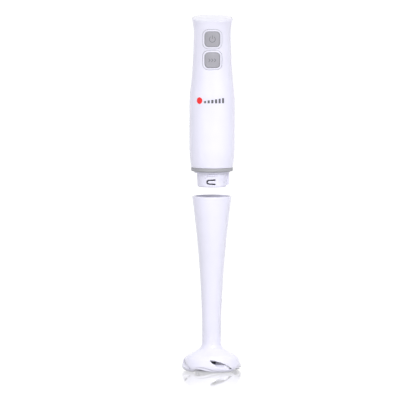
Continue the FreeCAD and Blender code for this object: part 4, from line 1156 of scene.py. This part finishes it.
# Colour, its spread, roughness from and to, scale and depth of the fine relief, and more.
FINISHES = {
    "white_shell": ((0.735, 0.725, 0.83), 0.012, (0.13, 0.2), 900, 0.03, GLOSSY_SHELL),
    "white_connector": ((0.72, 0.71, 0.81), 0.015, (0.24, 0.34), 1200, 0.05, {}),
    "grey_keys": ((0.335, 0.33, 0.36), 0.03, (0.42, 0.55), 5200, 0.35, {}),
    "grey_seal": ((0.33, 0.33, 0.345), 0.04, (0.5, 0.62), 3800, 0.3, {"Sheen_Weight": 0.15}),
    "white_rubber": ((0.72, 0.72, 0.76), 0.03, (0.5, 0.65), 3200, 0.3,
                     {"Sheen_Weight": 0.1}),
    "black_rubber": ((0.03, 0.03, 0.034), 0.2, (0.55, 0.7), 3000, 0.4, {}),
    "felt": ((0.33, 0.31, 0.28), 0.25, (0.85, 1.0), 6000, 1.0,
             {"patch": 900, "Sheen_Weight": 0.5}),
    "cutter_steel": ((0.68, 0.68, 0.70), 0.06, (0.18, 0.32), 2600, 0.35,
                     {"stretch": (0.05, 1, 1), **STEEL}),
    "bright_steel": ((0.60, 0.60, 0.62), 0.06, (0.16, 0.3), 2600, 0.25,
                     {"stretch": (1, 1, 0.04), **STEEL}),
    "zinc_steel": ((0.58, 0.59, 0.62), 0.12, (0.3, 0.45), 2000, 0.2,
                   {"patch": 500, **STEEL}),
    "sintered_bronze": ((0.48, 0.33, 0.16), 0.18, (0.45, 0.6), 6000, 0.6,
                        {"patch": 1500, **STEEL}),
    "coupling_plastic": ((0.045, 0.045, 0.05), 0.25, (0.4, 0.55), 4200, 0.4, {"patch": 400}),
    "frame_plastic": ((0.48, 0.48, 0.49), 0.05, (0.4, 0.55), 3800, 0.3, {}),
    "laminations": ((0.20, 0.20, 0.21), 0.4, (0.35, 0.5), 2400, 0.8,
                    {"patch": 1400, "stretch": (0.02, 0.02, 1), **STEEL}),
    "ferrite": ((0.07, 0.07, 0.075), 0.2, (0.6, 0.75), 5000, 0.5, {"patch": 800}),
    "copper": ((0.60, 0.24, 0.11), 0.2, (0.22, 0.38), 1800, 1.0,
               {"patch": 900, "stretch": (1, 1, 0.1), **STEEL}),
    "carbon": ((0.04, 0.04, 0.042), 0.3, (0.45, 0.6), 5200, 0.5, {"patch": 900}),
    "board": ((0.035, 0.17, 0.07), 0.3, (0.3, 0.42), 2500, 0.4, {"patch": 500}),
    "switch_plastic": ((0.04, 0.04, 0.046), 0.2, (0.35, 0.5), 3200, 0.3, {"patch": 400}),
    "plunger_plastic": ((0.62, 0.07, 0.05), 0.1, (0.3, 0.42), 3200, 0.2, {"patch": 400}),
    "capacitor_case": ((0.70, 0.50, 0.06), 0.08, (0.28, 0.4), 2600, 0.25, {"patch": 300}),
    "choke_winding": ((0.55, 0.22, 0.09), 0.25, (0.2, 0.36), 1600, 1.0,
                      {"patch": 900, "stretch": (0.1, 0.1, 1), **STEEL}),
    "lead_insulation": ((0.50, 0.04, 0.04), 0.08, (0.4, 0.55), 2600, 0.2, {"patch": 300}),
}


def printed(name, colour):
    """Pad-printed ink: slightly uneven, satin."""
    return finish(name, colour, 0.06, (0.3, 0.42), 2600, 0.15, patch=900)


FLOOR_DARK, FLOOR_LIGHT = (0.12, 0.12, 0.122), (0.13, 0.13, 0.132)
# Distances from the object's axis, in metres, over which the floor changes.
NEAR_TO_FAR = (0.1, 0.6)
# Painted shadow: over these distances the floor's emission rises from a tenth to full, so it all
# but goes out right under the object.
PAINTED_SHADOW_SPAN = (0.012, 0.02)
FLOOR_ROUGHNESS = (0.04, 0.5)
# Painted shade: the floor's emission near the object and far from it, weaker near it.
EMISSION_WITH_PAINTED_SHADE = (0.42, 0.84)


def studio_floor():
    """Pale table that glows as if lit from below, less near the object, as painted shade, and
    hardly at all right under it, as a painted shadow; polished near the object and duller away
    from it."""
    made, nodes, links, shader = tree("pale_table_painted_shade")
    links.new(between(nodes, links, pattern(nodes, links, 4.0), FLOOR_DARK, FLOOR_LIGHT),
              shader.inputs["Base Color"])
    place = nodes.new("ShaderNodeTexCoord")
    distance = nodes.new("ShaderNodeVectorMath")
    distance.operation = "LENGTH"
    links.new(place.outputs["Object"], distance.inputs[0])
    length = distance.outputs["Value"]
    links.new(ranged(nodes, links, length, NEAR_TO_FAR, FLOOR_ROUGHNESS),
              shader.inputs["Roughness"])
    painted_shade_emission = nodes.new("ShaderNodeMath")
    painted_shade_emission.operation = "MULTIPLY"
    links.new(ranged(nodes, links, length, NEAR_TO_FAR, EMISSION_WITH_PAINTED_SHADE), painted_shade_emission.inputs[0])
    # Painted shadow: the emission is cut to a tenth right under the object.
    links.new(ranged(nodes, links, length, PAINTED_SHADOW_SPAN, (0.1, 1.0)), painted_shade_emission.inputs[1])
    links.new(painted_shade_emission.outputs[0], shader.inputs["Emission Strength"])
    shader.inputs["Emission Color"].default_value = (1, 1, 1, 1)
    return made


# ---------------------------------------------------------------- putting it together

MATERIALS = {name: finish(name, *facts, **more) for name, (*facts, more) in FINISHES.items()}
FLAG_CLOTH = finish("flag_cloth", (0.42, 0.42, 0.56), 0.1, (0.9, 1.0), 400, 0.2)
LAMP_COLOUR = (0.94, 0.94, 1.0)
CAMERA_DISTANCE = 5.0
CAMERA_ELEVATION = 4.6
CAMERA_ROLL = 0.15
FRAME_WIDTH = 0.4397
AIM = Vector((-0.0041, 0.0, 0.1722))


def show(name, build, body, slot, *nodes, material=None):
    """Make a piece, dress it, put it on its body, and let it stand for CAD nodes."""
    obj = bpy.data.objects.new(name, build.mesh(name, 0.0 if body == "leg" else LIFT))
    bpy.context.scene.collection.objects.link(obj)
    obj.data.materials.append(material or MATERIALS[slot])
    obj.modifiers.new("even_shading", "WEIGHTED_NORMAL")
    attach(obj, body)
    if nodes:
        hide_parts(*nodes)


def dress_cad_nodes():
    """Give every CAD node that stays its finish, by its slot in the record."""
    for entry in frame["record"]["subparts"]:
        obj = frame["nodes"][entry["node"]]
        obj.data.materials.clear()
        obj.data.materials.append(MATERIALS[entry["material_slot"]])


def make_pieces():
    """Every visible shell, modelled closely, and the marks on them."""
    show("leg_shell", leg_tube(), "leg", "white_shell", "leg_tube")
    show("front_half", half_housing(True), "motor_unit", "white_shell", "front_housing")
    show("rear_half", half_housing(False), "motor_unit", "white_shell", "rear_housing")
    show("lid", top_cap(), "motor_unit", "white_shell", "top_cap")
    show("bayonet", connector(), "motor_unit", "white_connector", "connector")
    show("seal", seal_ring(), "seal", "grey_seal", "seal_ring")
    show("inlet", cord_inlet(), "motor_unit", "white_rubber", "cord_inlet")
    for name in ("power", "turbo"):
        show(f"{name}_frame", bezel(name), "motor_unit", "white_shell", f"{name}_bezel")
        show(f"{name}_cap", key(name), f"{name}_key", "grey_keys", f"{name}_button")
    ink = printed("grey_ink", (0.09, 0.09, 0.10))
    symbol = printed("symbol_grey", (0.15, 0.15, 0.16))
    red = printed("red_ink", (0.80, 0.012, 0.012))
    show("power_mark", power_symbol(), "power_key", None, material=symbol)
    show("turbo_mark", boost_symbol(), "turbo_key", None, material=symbol)
    show("dot_mark", red_mark(), "motor_unit", None, material=red)
    show("bar_mark", grey_mark(), "motor_unit", None, material=ink)


def make_floor():
    """A wide pale table."""
    bm = bmesh.new()
    bmesh.ops.create_circle(bm, cap_ends=True, radius=12.0, segments=96)
    data = bpy.data.meshes.new("table")
    bm.to_mesh(data)
    bm.free()
    table = bpy.data.objects.new("table", data)
    bpy.context.scene.collection.objects.link(table)
    data.materials.append(studio_floor())


def flag(name, corners):
    """A lavender cloth panel that only softens the light: neither seen nor mirrored."""
    data = bpy.data.meshes.new(name)
    data.from_pydata(corners, [], [(0, 1, 3, 2)])
    panel = bpy.data.objects.new(name, data)
    panel.visible_camera = False
    panel.visible_glossy = False
    bpy.context.scene.collection.objects.link(panel)
    data.materials.append(FLAG_CLOTH)


def make_flags():
    """Panels beside the object, which shade its flanks, and one high behind it."""
    for side, name in ((-1, "flag_left"), (1, "flag_right")):
        plan = [(side * 0.42, -0.13), (side * 0.34, 0.5)]
        flag(name, [(x, y, z) for x, y in plan for z in (0.03, 0.5)])
    flag("flag_high", [(x, 0.7, z) for x in (-0.3, 0.3) for z in (0.42, 0.72)])


def light(name, size, place, aim, power):
    """A soft rectangular lamp aimed at a point."""
    data = bpy.data.lights.new(name, "AREA")
    data.shape = "RECTANGLE"
    data.size, data.size_y = size
    data.energy = power
    data.color = LAMP_COLOUR
    lamp = bpy.data.objects.new(name, data)
    lamp.location = place
    lamp.rotation_mode = "QUATERNION"
    lamp.rotation_quaternion = (Vector(aim) - Vector(place)).to_track_quat("-Z", "Y")
    bpy.context.scene.collection.objects.link(lamp)
    return lamp


def make_surround():
    """An even, bright surround."""
    world = bpy.data.worlds.new("studio")
    bpy.context.scene.world = world
    world.use_nodes = True
    background = world.node_tree.nodes["Background"]
    background.inputs["Color"].default_value = (1, 1, 1, 1)
    background.inputs["Strength"].default_value = 1.05


def make_lights():
    """Two large soft boxes in front, a large key light above, and a narrow one aimed at
    the bell."""
    light("soft_box_left", (0.8, 1.0), (-0.84, -1.0, 0.53), (0, 0, 0.25), 0.9)
    light("soft_box_right", (1.1, 1.0), (0.8, -1.02, 0.53), (0, 0, 0.25), 1.0)
    light("key", (0.9, 0.7), (0.45, -1.35, 1.5), (0, 0, 0.1), 0.6)
    low = light("low_key", (0.3, 0.3), (0.2, -0.8, 0.65), (0, 0, 0.03), 0.36)
    low.data.spread = math.radians(50)


def make_camera():
    """A long lens a little above the object's middle, straight in front."""
    data = bpy.data.cameras.new("camera")
    data.sensor_width = 36.0
    data.lens = data.sensor_width * CAMERA_DISTANCE / FRAME_WIDTH
    data.clip_end = 100.0
    camera = bpy.data.objects.new("camera", data)
    raised = math.radians(CAMERA_ELEVATION)
    back = Vector((0, -math.cos(raised), math.sin(raised)))
    camera.location = AIM + back * CAMERA_DISTANCE
    camera.rotation_mode = "QUATERNION"
    look = (-back).to_track_quat("-Z", "Y")
    camera.rotation_quaternion = look @ Quaternion((0, 0, 1), math.radians(CAMERA_ROLL))
    bpy.context.scene.collection.objects.link(camera)
    bpy.context.scene.camera = camera


dress_cad_nodes()
make_pieces()
make_floor()
make_flags()
make_surround()
make_lights()
make_camera()
bpy.context.scene.view_settings.view_transform = "Standard"
